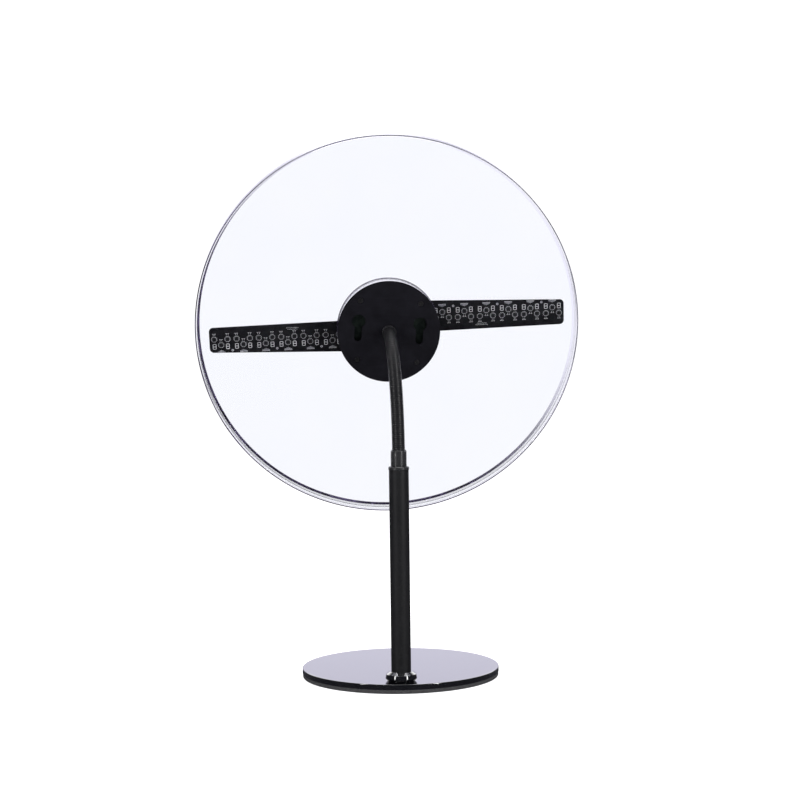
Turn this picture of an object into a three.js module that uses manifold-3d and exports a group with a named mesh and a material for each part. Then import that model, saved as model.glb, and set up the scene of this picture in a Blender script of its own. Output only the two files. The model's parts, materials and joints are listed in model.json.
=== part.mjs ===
// Hologram fan display: a two-blade LED rotor in a clear round cover, carried by a
// gooseneck on a desk stand. Millimetres, +Z up. The display faces -Y.
// Origin: centre of the base's underside.

import * as THREE from 'three';
import { mergeVertices } from 'three/addons/utils/BufferGeometryUtils.js';
import Module from 'manifold-3d';

const wasm = await Module();
wasm.setup();

// ---------------------------------------------------------------- driving dimensions

const GAP = 0.3;                       // clearance between touching pieces

const BASE_RADIUS = 117.0;
const PAD_THICKNESS = 4.2;
const PAD_INSET = 0.5;                 // the pad's edge inside the slab's
const PAD_HOLE = 11;                   // radius of the pad's hole round the screw
const PLATE_THICKNESS = 6.3;
const PLATE_CHAMFER = 0.7;
const PLATE_HOLE = 3.6;
const BASE_SCREW_RADIUS = 2.6;
const BASE_SCREW_HEAD = 5.5;
const BASE_SCREW_TOP = 30;
const WASHER_THICKNESS = 1.2;
const POLE_OFFSET = 93.75;             // pole axis behind the base's centre
const POLE_RADIUS = 11.3;
const POLE_WALL = 1.5;
const POLE_BORE = POLE_RADIUS - POLE_WALL;
const POLE_FOOT = PAD_THICKNESS + PLATE_THICKNESS + 2 * GAP;
const POLE_TOP = 251.5;
const FLANGE_RADIUS = 18.5;
const FLANGE_HEIGHT = 10.8;
const BELLY_RADIUS = 4.2;              // radius of the flange's round edge
const BELLY_HEIGHT = 3.65;             // its centre above the slab
const SHOULDER_HEIGHT = 7.2;
const COLLAR_RADIUS = 11.85;
const COLLAR_HEIGHT = 3.5;
const COLLAR_BORE = 7.6;
const COLLAR_SPIGOT = 14;              // how far the collar reaches into the tube
const FERRULE_RADIUS = 8.6;
const FERRULE_TOP = 274.5;
const FERRULE_BEVEL = 2.2;
const FERRULE_SPIGOT = 9;
const SPIGOT_RADIUS = 7.3;
const LEAD_HOLE = 2.6;                 // hole for the lead through the hose's fittings
const LEAD_RADIUS = 1.7;
const INLET_HEIGHT = 48;               // power inlet on the pole's front
const INLET_BORE = 3.2;
const INLET_BODY = 4.1;
const INLET_BEZEL = 5.8;
const BUTTON_HEIGHT = 70;              // power button above it
const BUTTON_RADIUS = 3.1;
const BUTTON_BORE = 3.5;
const BUTTON_BODY = 4.4;
const BUTTON_BEZEL = 5.4;

const HOSE_RADIUS = 6.95;
const HOSE_BORE = 7.6;                 // bore of the fittings at the hose's ends
const HOSE_START = 262;                // hose end inside the ferrule
const RISE_HANDLE = 90;                // how long the hose keeps rising straight
const HUB_HANDLE = 55;                 // how long it runs straight out of the hub
const FIRST_PIVOT = 25;                // arc length from the hose's start to pivot 1
const PIVOT_SPACING = 24;
const PIVOT_COUNT = 6;
const LINK_END_GAP = 1.3;              // from a pivot to the hose ends either side of it
const NOSE_RADIUS = 5.0;
const NOSE_GAP = 0.4;                  // between a nose and the cup it turns in
const HOSE_SEAT = 3.5;                 // hose end behind the hub's rear face

const HUB_CENTRE = new THREE.Vector3(9.08, 42.5, 408.38);   // centre of the hub's rear face
const HUB_YAW = THREE.MathUtils.degToRad(3.17);
const HUB_PITCH = THREE.MathUtils.degToRad(-13.1);
const HUB_ROLL = THREE.MathUtils.degToRad(-3.5);
const HUB_RADIUS = 59.8;
const HUB_PLATE = 3.0;
const HUB_EDGE = 0.6;                  // chamfer round the hub plate
const HUB_BORE = 5.4;
const HUB_SCREW_CIRCLE = 49.5;
const HUB_SCREW_HEAD = 2.85;
const HUB_SCREW_POCKET = 3.2;
const HUB_SCREW_SHANK = 1.4;
const KEYHOLE_SPACING = 71.6;          // between the two keyholes' centres
const KEYHOLE_RADIUS = 7.9;
const KEYHOLE_SLOT = 8.4;              // slot width
const KEYHOLE_DROP = 19.5;             // slot centre below the round hole's centre
const TRAY_RADIUS = 46.4;
const TRAY_WALL = 2.0;
const TRAY_REAR = 3.6;                 // depths are forward of the hub's rear face
const TRAY_FRONT = 18.5;
const BOARD_DEPTH = 10;
const BOARD_THICKNESS = 1.6;
const CONNECTOR_RADIUS = 8.2;
const CONNECTOR_STEM = 5.0;

const COVER_RADIUS = 225.6;
const COVER_WALL = 2.0;
const NECK_RADIUS = 59.1;              // clear neck between the hub plate and the cover
const COVER_CORNER = 1.2;
const COVER_REAR = 20.85;
const COVER_SEAM = 31.9;
const COVER_FRONT = 43.05;
const NECK_BORE = 47.2;                // hole in the clear flange behind the neck

const ROTOR_TILT = THREE.MathUtils.degToRad(1.9);
const BLADE_DEPTH = 33.2;              // rear face of the blades
const BLADE_THICKNESS = 1.6;
const BLADE_TIP = 210;
const BLADE_ROOT = 12;
const BLADE_CORNER = 5;
const LED_WIDTH = 2.4;
const LED_HEIGHT = 0.9;
const SHAFT_RADIUS = 2.0;
const BEARING_RADIUS = 5.0;
const BEARING_TUBE_RADIUS = 6.5;
const BEARING_LENGTH = 4;
const STATOR_REAR = 21;
const STATOR_FRONT = 27;
const STATOR_RADIUS = 15.9;
const STATOR_TEETH = 9;
const CUP_RADIUS = 19.1;
const CUP_FRONT = 30;
const COIL_INNER = 24;
const COIL_OUTER = 36;
const COIL_THICKNESS = 1.4;
const CARRIER_RADIUS = 46;
const CARRIER_REAR = 25.4;
const CAP_RADIUS = 38;
const CAP_WALL = 1.6;
const CAP_FRONT = 39.0;
const CAP_SEAT = 38.2;                 // under the heads of the cap's screws
const CAP_SCREWS = [[24, -4], [24, -20]];   // along the blade and across it

// ---------------------------------------------------------------- materials

function finish(color, roughness, metalness, opacity = 1) {
  return () => new THREE.MeshStandardMaterial({
    color, roughness, metalness, opacity, transparent: opacity < 1,
  });
}

const glossBlack = finish(0x101013, 0.12, 0.0);
const satinBlack = finish(0x2a2a2d, 0.45, 0.2);
const matteBlack = finish(0x1b1b20, 0.75, 0.0);
const rubberGrey = finish(0x3a3a3c, 0.9, 0.0);
const hoseBlack = finish(0x232326, 0.5, 0.3);
const clearAcrylic = finish(0xf4f5fb, 0.05, 0.0, 0.3);
const boardBlack = finish(0x15161a, 0.6, 0.0);
const boardGreen = finish(0x1d4a33, 0.55, 0.0);
const ledWhite = finish(0xe8e6dc, 0.4, 0.0);
const steel = finish(0xb5b6ba, 0.3, 1.0);
const darkSteel = finish(0x3b3c40, 0.4, 1.0);
const aluminium = finish(0xc4c6ca, 0.4, 1.0);
const copper = finish(0xb8703c, 0.35, 0.9);
const ferrite = finish(0x4a4a4d, 0.7, 0.2);

// ---------------------------------------------------------------- solids

/** A closed geometry as a manifold solid: shared vertices merged, faces pointing out. */
function solid(geometry) {
  const bare = geometry.clone();
  bare.deleteAttribute('normal');
  bare.deleteAttribute('uv');
  const merged = mergeVertices(bare, 1e-4);
  const points = merged.attributes.position.array;
  const index = merged.index.array;
  const corner = (i) => new THREE.Vector3().fromArray(points, 3 * i);
  const triangles = [];
  let volume = 0;
  for (let i = 0; i < index.length; i += 3) {
    const [a, b, c] = [index[i], index[i + 1], index[i + 2]];
    if (a === b || b === c || c === a) continue;
    triangles.push(a, b, c);
    volume += corner(a).dot(corner(b).cross(corner(c)));
  }
  if (volume < 0) triangles.reverse();
  return new wasm.Manifold(new wasm.Mesh({
    numProp: 3,
    vertProperties: new Float32Array(points),
    triVerts: new Uint32Array(triangles),
  }));
}

/** The geometry of a manifold solid. */
function toGeometry(body) {
  const mesh = body.getMesh();
  const geometry = new THREE.BufferGeometry();
  geometry.setAttribute('position', new THREE.BufferAttribute(mesh.vertProperties, 3));
  geometry.setIndex(new THREE.BufferAttribute(mesh.triVerts, 1));
  geometry.computeVertexNormals();
  return geometry;
}

/** Turns a closed [radius, height] outline about the Y axis. */
function turned(outline, segments = 24) {
  const points = outline.map(([radius, height]) => new THREE.Vector2(radius, height));
  points.push(points[0].clone());
  return solid(new THREE.LatheGeometry(points, segments));
}

/** A plain ring about the Y axis, or a disc when the inner radius is 0. */
function ring(inner, outer, low, high, segments = 24) {
  return turned([[inner, low], [outer, low], [outer, high], [inner, high]], segments);
}

/** A rod along the Y axis through (x, z). */
function rod(radius, low, high, x = 0, z = 0, segments = 12) {
  const geometry = new THREE.CylinderGeometry(radius, radius, high - low, segments);
  return solid(geometry.translate(x, (low + high) / 2, z));
}

/** An outline drawn in the XZ plane, its second coordinate up, raised along Y. */
function plate(shape, low, high, curveSegments = 6) {
  const geometry = new THREE.ExtrudeGeometry(shape, {
    depth: high - low, bevelEnabled: false, curveSegments,
  });
  return solid(geometry.rotateX(Math.PI / 2).translate(0, high, 0));
}

/** A box with its centre at (x, y, z). */
function block(width, height, depth, x, y, z) {
  return solid(new THREE.BoxGeometry(width, height, depth).translate(x, y, z));
}

/** A round bar along a curve, with an even number of sides. */
function bar(curve, radius, steps, sides) {
  const section = new THREE.Shape();
  section.absarc(0, 0, radius, 0, 2 * Math.PI);
  return solid(new THREE.ExtrudeGeometry(section, {
    extrudePath: curve, steps, curveSegments: sides / 2, bevelEnabled: false,
  }));
}

/** Adds a named piece to a group. */
function piece(group, name, body, material) {
  const mesh = new THREE.Mesh(toGeometry(body), material());
  mesh.name = name;
  group.add(mesh);
}

/** A regular polygon outline. */
function polygon(sides, radius) {
  const shape = new THREE.Shape();
  for (let side = 0; side < sides; side += 1) {
    const angle = 2 * Math.PI * side / sides;
    const [x, y] = [radius * Math.cos(angle), radius * Math.sin(angle)];
    if (side === 0) shape.moveTo(x, y);
    else shape.lineTo(x, y);
  }
  shape.closePath();
  return shape;
}

/** Four points on a circle, on the diagonals. */
function diagonalPoints(radius) {
  return [45, 135, 225, 315].map((degrees) => {
    const angle = THREE.MathUtils.degToRad(degrees);
    return [radius * Math.cos(angle), radius * Math.sin(angle)];
  });
}

// ---------------------------------------------------------------- base

/** Round base: rubber pad under a gloss slab, with a hole for the pole's screw. */
function addBase(parent) {
  const base = new THREE.Group();
  base.rotation.x = Math.PI / 2;       // local Y is up, local Z points to -Y
  parent.add(base);

  const plateBottom = PAD_THICKNESS + GAP;
  const plateTop = plateBottom + PLATE_THICKNESS;
  const screwZ = -POLE_OFFSET;

  const pad = ring(0, BASE_RADIUS - PAD_INSET, 0, PAD_THICKNESS, 48)
    .subtract(rod(PAD_HOLE, -1, PAD_THICKNESS + 1, 0, screwZ, 20));
  piece(base, 'base_pad', pad, rubberGrey);

  const slab = turned([
    [0, plateBottom],
    [BASE_RADIUS - PLATE_CHAMFER, plateBottom],
    [BASE_RADIUS, plateBottom + PLATE_CHAMFER],
    [BASE_RADIUS, plateTop - PLATE_CHAMFER],
    [BASE_RADIUS - PLATE_CHAMFER, plateTop],
    [0, plateTop],
  ], 48).subtract(rod(PLATE_HOLE, plateBottom - 1, plateTop + 1, 0, screwZ));
  piece(base, 'base_plate', slab, glossBlack);
}

// ---------------------------------------------------------------- pole

/** Flange with a full belly and a coned shoulder round the pole's foot. */
function addFlange(pole) {
  const inner = POLE_RADIUS + GAP;
  const belly = [];
  for (let step = 0; step <= 4; step += 1) {
    const angle = THREE.MathUtils.degToRad(THREE.MathUtils.lerp(-60, 25, step / 4));
    belly.push([
      FLANGE_RADIUS - BELLY_RADIUS * (1 - Math.cos(angle)),
      BELLY_HEIGHT + BELLY_RADIUS * Math.sin(angle),
    ]);
  }
  const flange = turned([
    [inner, 0],
    ...belly,
    [FLANGE_RADIUS - 0.6, SHOULDER_HEIGHT],
    [inner + 1.0, FLANGE_HEIGHT],
    [inner, FLANGE_HEIGHT],
  ].map(([radius, height]) => [radius, POLE_FOOT + height]), 32);
  piece(pole, 'pole_flange', flange, glossBlack);
}

/** Tube with holes in its front wall for the inlet and the button. */
function addTube(pole) {
  const wallHole = (radius, height) => solid(
    new THREE.CylinderGeometry(radius, radius, 12, 16).rotateX(Math.PI / 2)
      .translate(0, height, POLE_RADIUS),
  );
  const tube = ring(POLE_BORE, POLE_RADIUS, POLE_FOOT, POLE_TOP)
    .subtract(wallHole(INLET_BODY + GAP, INLET_HEIGHT))
    .subtract(wallHole(BUTTON_BODY + GAP, BUTTON_HEIGHT));
  piece(pole, 'pole_tube', tube, satinBlack);

  const plug = ring(BASE_SCREW_RADIUS + GAP, POLE_BORE - GAP, POLE_FOOT, POLE_FOOT + 22);
  piece(pole, 'pole_plug', plug, darkSteel);

  const lead = new THREE.CatmullRomCurve3([
    new THREE.Vector3(0, INLET_HEIGHT, 0.4),
    new THREE.Vector3(0, INLET_HEIGHT + 4, -3),
    new THREE.Vector3(0, INLET_HEIGHT + 14, -5),
    new THREE.Vector3(0, 150, -5),
    new THREE.Vector3(0, 225, -2),
    new THREE.Vector3(0, 258, 0),
  ]);
  piece(pole, 'pole_lead', bar(lead, LEAD_RADIUS, 18, 8), matteBlack);
}

/** Screw and washer that hold the pole on the slab from below. */
function addBaseScrew(pole) {
  const washerLow = PAD_THICKNESS - WASHER_THICKNESS;
  piece(pole, 'base_washer', ring(3.5, 9, washerLow, PAD_THICKNESS), steel);
  const headTop = washerLow - GAP;
  const screw = ring(0, BASE_SCREW_HEAD, headTop - 2.2, headTop, 20)
    .add(rod(BASE_SCREW_RADIUS, headTop - 0.5, BASE_SCREW_TOP))
    .subtract(plate(polygon(6, 2.2), headTop - 3, headTop - 0.8));
  piece(pole, 'base_screw', screw, steel);
}

/** Collar at the top of the pole, and the ferrule that grips the hose. */
function addPoleTop(pole) {
  const collarLow = POLE_TOP + GAP;
  const collarHigh = collarLow + COLLAR_HEIGHT;
  const chamfer = 0.6;
  const collar = ring(COLLAR_BORE, POLE_BORE - GAP, collarLow - COLLAR_SPIGOT, collarLow + 0.1)
    .add(turned([
      [FERRULE_RADIUS + GAP, collarLow],
      [COLLAR_RADIUS, collarLow],
      [COLLAR_RADIUS, collarHigh - chamfer],
      [COLLAR_RADIUS - chamfer, collarHigh],
      [FERRULE_RADIUS + GAP, collarHigh],
    ]))
    .add(ring(COLLAR_BORE, FERRULE_RADIUS + 1, collarLow - 1, collarLow));
  piece(pole, 'pole_collar', collar, satinBlack);

  const seat = collarLow + 0.4;
  const ferrule = turned([
    [LEAD_HOLE, seat - FERRULE_SPIGOT],
    [SPIGOT_RADIUS, seat - FERRULE_SPIGOT],
    [SPIGOT_RADIUS, seat],
    [FERRULE_RADIUS, seat],
    [FERRULE_RADIUS, FERRULE_TOP - FERRULE_BEVEL],
    [HOSE_BORE + 0.4, FERRULE_TOP],
    [HOSE_BORE, FERRULE_TOP],
    [HOSE_BORE, HOSE_START - GAP],
    [LEAD_HOLE, HOSE_START - GAP],
  ]);
  piece(pole, 'neck_ferrule', ferrule, darkSteel);
}

/** Power inlet and push button on the front of the pole. */
function addControls(pole) {
  const controls = (height) => {
    const group = new THREE.Group();
    group.position.set(0, height, 0);
    group.rotation.x = Math.PI / 2;    // local Y points out of the pole's front
    pole.add(group);
    return group;
  };
  const face = POLE_RADIUS + GAP;

  const inlet = ring(INLET_BORE, INLET_BODY, 3, face + 0.1, 20)
    .add(ring(0, INLET_BODY, 2.5, 4.5, 20))
    .add(ring(INLET_BORE, INLET_BEZEL, face, face + 1.4, 20));
  piece(controls(INLET_HEIGHT), 'dc_inlet', inlet, matteBlack);

  const button = controls(BUTTON_HEIGHT);
  const housing = ring(BUTTON_BORE, BUTTON_BODY, 3.5, face + 0.1, 20)
    .add(ring(0, BUTTON_BODY, 3, 4.4, 20))
    .add(ring(BUTTON_BORE, BUTTON_BEZEL, face, face + 1.0, 20));
  piece(button, 'button_housing', housing, matteBlack);
  const crown = turned([
    [0, 7],
    [BUTTON_RADIUS, 7],
    [BUTTON_RADIUS, face + 1.7],
    [BUTTON_RADIUS - 0.5, face + 2.2],
    [0, face + 2.2],
  ], 20);
  piece(button, 'power_button', crown, satinBlack);
}

function addPole(parent) {
  const pole = new THREE.Group();
  pole.position.set(0, POLE_OFFSET, 0);
  pole.rotation.x = Math.PI / 2;       // local Y is up, local Z points to -Y
  parent.add(pole);
  addFlange(pole);
  addTube(pole);
  addBaseScrew(pole);
  addPoleTop(pole);
  addControls(pole);
}

// ---------------------------------------------------------------- gooseneck

/** The part of a curve between two arc lengths. */
class Stretch extends THREE.Curve {
  constructor(curve, from, to) {
    super();
    this.curve = curve;
    this.from = from / curve.getLength();
    this.to = to / curve.getLength();
  }

  getPoint(t, target = new THREE.Vector3()) {
    return this.curve.getPointAt(THREE.MathUtils.lerp(this.from, this.to, t), target);
  }
}

/** Hose line: straight up out of the ferrule, then over and into the hub. */
function neckCurve(hubRearward) {
  const start = new THREE.Vector3(0, POLE_OFFSET, HOSE_START);
  const end = HUB_CENTRE.clone().addScaledVector(hubRearward, HOSE_SEAT);
  return new THREE.CubicBezierCurve3(
    start,
    start.clone().add(new THREE.Vector3(0, 0, RISE_HANDLE)),
    end.clone().addScaledVector(hubRearward, HUB_HANDLE),
    end,
  );
}

/** The hose in links that turn on ball joints: each link's nose sits in the next one's cup. */
function addNeck(parent, hubRearward) {
  const curve = neckCurve(hubRearward);
  const length = curve.getLength();
  const ball = (radius, arc) => {
    const centre = curve.getPointAt(arc / length);
    return solid(new THREE.SphereGeometry(radius, 12, 6).translate(...centre.toArray()));
  };
  for (let link = 0; link <= PIVOT_COUNT; link += 1) {
    const lowPivot = FIRST_PIVOT + (link - 1) * PIVOT_SPACING;
    const highPivot = lowPivot + PIVOT_SPACING;
    const from = link === 0 ? 0 : lowPivot + LINK_END_GAP;
    const to = link === PIVOT_COUNT ? length : highPivot - LINK_END_GAP;
    let body = bar(new Stretch(curve, from, to), HOSE_RADIUS, 3, 12);
    if (link < PIVOT_COUNT) body = body.add(ball(NOSE_RADIUS, highPivot));
    if (link > 0) body = body.subtract(ball(NOSE_RADIUS + NOSE_GAP, lowPivot));
    piece(parent, `hose_link_${link}`, body, hoseBlack);
  }
}

// ---------------------------------------------------------------- hub
// Inside the head, local Y points rearwards, so a depth is a negative Y.

/** A ring given by its depths. */
function depthRing(inner, outer, rear, front, segments = 24) {
  return ring(inner, outer, -front, -rear, segments);
}

/** A keyhole outline: a round hole with a slot running down from it. */
function keyhole(x) {
  const half = KEYHOLE_SLOT / 2;
  const top = KEYHOLE_DROP / 2 + 1;
  const join = Math.sqrt(KEYHOLE_RADIUS ** 2 - half ** 2);
  const opening = Math.asin(half / KEYHOLE_RADIUS);
  const shape = new THREE.Shape();
  shape.moveTo(x + half, top - join);
  shape.absarc(x, top, KEYHOLE_RADIUS, opening - Math.PI / 2, 1.5 * Math.PI - opening);
  shape.lineTo(x - half, top - KEYHOLE_DROP);
  shape.absarc(x, top - KEYHOLE_DROP, half, Math.PI, 2 * Math.PI);
  shape.closePath();
  return shape;
}

/** Black rear plate with two wall-hanging keyholes and four countersunk screws. */
function addHubPlate(hub) {
  let rearPlate = turned([
    [HUB_BORE, -HUB_PLATE],
    [HUB_RADIUS, -HUB_PLATE],
    [HUB_RADIUS, -HUB_EDGE],
    [HUB_RADIUS - HUB_EDGE, 0],
    [HUB_BORE, 0],
  ], 48);
  for (const x of [-KEYHOLE_SPACING / 2, KEYHOLE_SPACING / 2]) {
    rearPlate = rearPlate.subtract(plate(keyhole(x), -HUB_PLATE - 1, 1));
  }
  diagonalPoints(HUB_SCREW_CIRCLE).forEach(([x, z], number) => {
    rearPlate = rearPlate.subtract(rod(HUB_SCREW_POCKET, -1.9, 1, x, z))
      .subtract(rod(HUB_SCREW_SHANK + 0.4, -HUB_PLATE - 1, 1, x, z));
    const screw = rod(HUB_SCREW_HEAD, -1.6, -0.2, x, z)
      .add(rod(HUB_SCREW_SHANK, -12, -1, x, z, 8))
      .subtract(block(3.4, 1.2, 0.7, x, -0.2, z))
      .subtract(block(0.7, 1.2, 3.4, x, -0.2, z));
    piece(hub, `hub_screw_${number + 1}`, screw, darkSteel);
  });
  piece(hub, 'hub_rear_plate', rearPlate, matteBlack);
}

/** Cup-shaped tray that carries the electronics behind and the motor in front. */
function addTray(hub) {
  let tray = depthRing(TRAY_RADIUS - TRAY_WALL, TRAY_RADIUS, TRAY_REAR, TRAY_FRONT, 32)
    .add(depthRing(BEARING_TUBE_RADIUS + 0.4, TRAY_RADIUS, TRAY_FRONT - TRAY_WALL, TRAY_FRONT, 32));
  for (const [x, z] of diagonalPoints(HUB_SCREW_CIRCLE)) {
    tray = tray.add(rod(4.2, -TRAY_FRONT, -5.8, x, z))
      .subtract(rod(HUB_SCREW_SHANK + GAP, -13, -5, x, z, 8));
  }
  piece(hub, 'hub_tray', tray, matteBlack);

  const boardRadius = TRAY_RADIUS - TRAY_WALL - 0.6;
  let board = depthRing(12, boardRadius, BOARD_DEPTH, BOARD_DEPTH + BOARD_THICKNESS, 32);
  const parts = [
    [14, 4, 9, 0, 34],
    [9, 2.4, 9, 0, -30],
    [6, 3, 6, 20, -28],
    [6, 3, 6, -20, -28],
    [8, 2, 5, 19, 32],
  ];
  for (const [width, height, depth, x, z] of parts) {
    board = board.add(block(width, height, depth, x, -BOARD_DEPTH + height / 2 - 0.2, z));
  }
  piece(hub, 'control_board', board, boardGreen);
}

/** Connector that joins the hose to the hub, with its lock nut inside. */
function addHubConnector(hub) {
  const connector = turned([
    [LEAD_HOLE, -8.6],
    [CONNECTOR_STEM, -8.6],
    [CONNECTOR_STEM, GAP],
    [CONNECTOR_RADIUS, GAP],
    [CONNECTOR_RADIUS, 10.5],
    [HOSE_BORE + 0.2, 12],
    [HOSE_BORE, 12],
    [HOSE_BORE, 3],
    [LEAD_HOLE, 3],
  ]);
  piece(hub, 'hub_connector', connector, darkSteel);
  const nut = plate(polygon(6, 8.6), -6.6, -HUB_PLATE - GAP)
    .subtract(rod(CONNECTOR_STEM + GAP, -9, 0));
  piece(hub, 'connector_nut', nut, steel);
}

// ---------------------------------------------------------------- clear cover

/** A round wall of the cover's rim, its outer corner chamfered at the face it closes. */
function rimWall(face, seam) {
  const inward = Math.sign(seam - face);
  return turned([
    [COVER_RADIUS - COVER_WALL, -face],
    [COVER_RADIUS - COVER_CORNER, -face],
    [COVER_RADIUS, -face - inward * COVER_CORNER],
    [COVER_RADIUS, -seam],
    [COVER_RADIUS - COVER_WALL, -seam],
  ], 48);
}

/** Rear moulding in its flat and round walls: flange, neck, disc and rim. */
function addRearCover(shell) {
  const flangeRear = HUB_PLATE + GAP;
  const flangeFront = flangeRear + COVER_WALL;
  const neckInner = NECK_RADIUS - COVER_WALL;
  const discFront = COVER_REAR + COVER_WALL;
  const discRadius = COVER_RADIUS - COVER_WALL - GAP;

  let flange = depthRing(NECK_BORE, neckInner - GAP, flangeRear, flangeFront, 48);
  for (const [x, z] of diagonalPoints(HUB_SCREW_CIRCLE)) {
    flange = flange.subtract(rod(1.9, -flangeFront - 1, -HUB_PLATE, x, z, 8));
  }
  piece(shell, 'rear_cover_flange', flange, clearAcrylic);
  const neck = depthRing(neckInner, NECK_RADIUS, flangeRear, discFront, 48);
  piece(shell, 'rear_cover_neck', neck, clearAcrylic);
  const disc = depthRing(NECK_RADIUS + GAP, discRadius, COVER_REAR, discFront, 48);
  piece(shell, 'rear_cover', disc, clearAcrylic);
  piece(shell, 'rear_cover_rim', rimWall(COVER_REAR, COVER_SEAM - GAP), clearAcrylic);
}

/** Front moulding: disc and rim. */
function addFrontCover(shell) {
  const discRadius = COVER_RADIUS - COVER_WALL - GAP;
  const disc = depthRing(0, discRadius, COVER_FRONT - COVER_WALL, COVER_FRONT, 48);
  piece(shell, 'front_cover', disc, clearAcrylic);
  piece(shell, 'front_cover_rim', rimWall(COVER_FRONT, COVER_SEAM), clearAcrylic);
}

// ---------------------------------------------------------------- motor

/** Stator lamination: a ring with T-shaped teeth. */
function statorCore() {
  const middle = -(STATOR_REAR + STATOR_FRONT) / 2;
  const thickness = STATOR_FRONT - STATOR_REAR;
  let core = depthRing(BEARING_TUBE_RADIUS + GAP, 9, STATOR_REAR, STATOR_FRONT);
  for (let tooth = 0; tooth < STATOR_TEETH; tooth += 1) {
    const angle = 2 * Math.PI * tooth / STATOR_TEETH;
    const stem = new THREE.BoxGeometry(7.5, thickness, 2.4);
    core = core.add(solid(stem.translate(11.5, middle, 0).rotateY(angle)));
  }
  let rim = depthRing(14.6, STATOR_RADIUS, STATOR_REAR, STATOR_FRONT, 3 * STATOR_TEETH);
  for (let slot = 0; slot < STATOR_TEETH; slot += 1) {
    const angle = 2 * Math.PI * (slot + 0.5) / STATOR_TEETH;
    const opening = new THREE.BoxGeometry(6, thickness + 4, 1.4);
    rim = rim.subtract(solid(opening.translate(15, middle, 0).rotateY(angle)));
  }
  return core.add(rim);
}

/** Copper coils round every tooth, joined by the ring of their crossing wires. */
function statorCoils() {
  const middle = -(STATOR_REAR + STATOR_FRONT) / 2;
  const coreThickness = STATOR_FRONT - STATOR_REAR;
  let coils = depthRing(9.4, 10.6, STATOR_REAR - 1.2, STATOR_REAR - GAP);
  for (let tooth = 0; tooth < STATOR_TEETH; tooth += 1) {
    const angle = 2 * Math.PI * tooth / STATOR_TEETH;
    const outside = new THREE.BoxGeometry(3.8, coreThickness + 2.2, 4.8);
    const inside = new THREE.BoxGeometry(5, coreThickness + 2 * GAP, 3.0);
    const coil = solid(outside.translate(11.6, middle - 0.2, 0).rotateY(angle))
      .subtract(solid(inside.translate(11.6, middle, 0).rotateY(angle)));
    coils = coils.add(coil);
  }
  return coils;
}

function addMotor(head) {
  const tube = depthRing(BEARING_RADIUS + GAP, BEARING_TUBE_RADIUS, 12, 28.4)
    .add(depthRing(BEARING_RADIUS + GAP, 12, 18.8, 19.5));
  piece(head, 'bearing_tube', tube, aluminium);
  const bearing = (rear) => depthRing(
    SHAFT_RADIUS + GAP, BEARING_RADIUS, rear, rear + BEARING_LENGTH,
  );
  piece(head, 'bearing_rear', bearing(13), steel);
  piece(head, 'bearing_front', bearing(24), steel);
  piece(head, 'stator_core', statorCore(), darkSteel);
  piece(head, 'stator_coils', statorCoils(), copper);
  const coilRear = TRAY_FRONT + GAP;
  const coil = depthRing(COIL_INNER, COIL_OUTER, coilRear, coilRear + COIL_THICKNESS, 32);
  piece(head, 'power_coil_fixed', coil, copper);
}

// ---------------------------------------------------------------- rotor

/** Blade outline in its own frame: radius along X, across the blade along Y. */
function bladeOutline() {
  const leading = (radius) => 9.3 - 0.012 * radius;
  const trailing = (radius) => -30.1 + 0.033 * radius;
  const shape = new THREE.Shape();
  shape.moveTo(BLADE_ROOT, trailing(BLADE_ROOT));
  const shoulder = BLADE_TIP - BLADE_CORNER;
  shape.lineTo(shoulder, trailing(shoulder));
  shape.quadraticCurveTo(
    BLADE_TIP, trailing(BLADE_TIP), BLADE_TIP, trailing(BLADE_TIP) + BLADE_CORNER,
  );
  shape.lineTo(BLADE_TIP, leading(BLADE_TIP) - BLADE_CORNER);
  shape.quadraticCurveTo(
    BLADE_TIP, leading(BLADE_TIP), shoulder, leading(shoulder),
  );
  shape.lineTo(BLADE_ROOT, leading(BLADE_ROOT));
  shape.closePath();
  return shape;
}

/** Two blades half a turn apart, each with its row of LEDs and its two screws. */
function addBlades(rotor) {
  const front = BLADE_DEPTH + BLADE_THICKNESS;
  [0, Math.PI].forEach((turn, index) => {
    const arm = new THREE.Group();
    arm.rotation.y = turn;
    rotor.add(arm);
    let blade = plate(bladeOutline(), -front, -BLADE_DEPTH);
    for (const [x, z] of CAP_SCREWS) {
      blade = blade.subtract(rod(1.4, -front - 1, -BLADE_DEPTH + 1, x, z, 8));
    }
    piece(arm, `blade_${index + 1}`, blade, boardBlack);

    const ledFirst = CAP_RADIUS + 1;
    const ledLength = BLADE_TIP - 3 - ledFirst;
    const ledMiddle = ledFirst + ledLength / 2;
    const ledDepth = front + GAP + LED_HEIGHT / 2;
    const leds = block(ledLength, LED_HEIGHT, LED_WIDTH, ledMiddle, -ledDepth, 0);
    piece(arm, `led_row_${index + 1}`, leds, ledWhite);

    CAP_SCREWS.forEach(([x, z], number) => {
      const screw = rod(1.0, -CAP_SEAT, -29.5, x, z, 8)
        .add(rod(1.9, -CAP_FRONT, -CAP_SEAT, x, z))
        .subtract(block(2.4, 1.0, 0.6, x, -CAP_FRONT, z));
      piece(arm, `cap_screw_${2 * index + number + 1}`, screw, steel);
    });
  });
}

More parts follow.
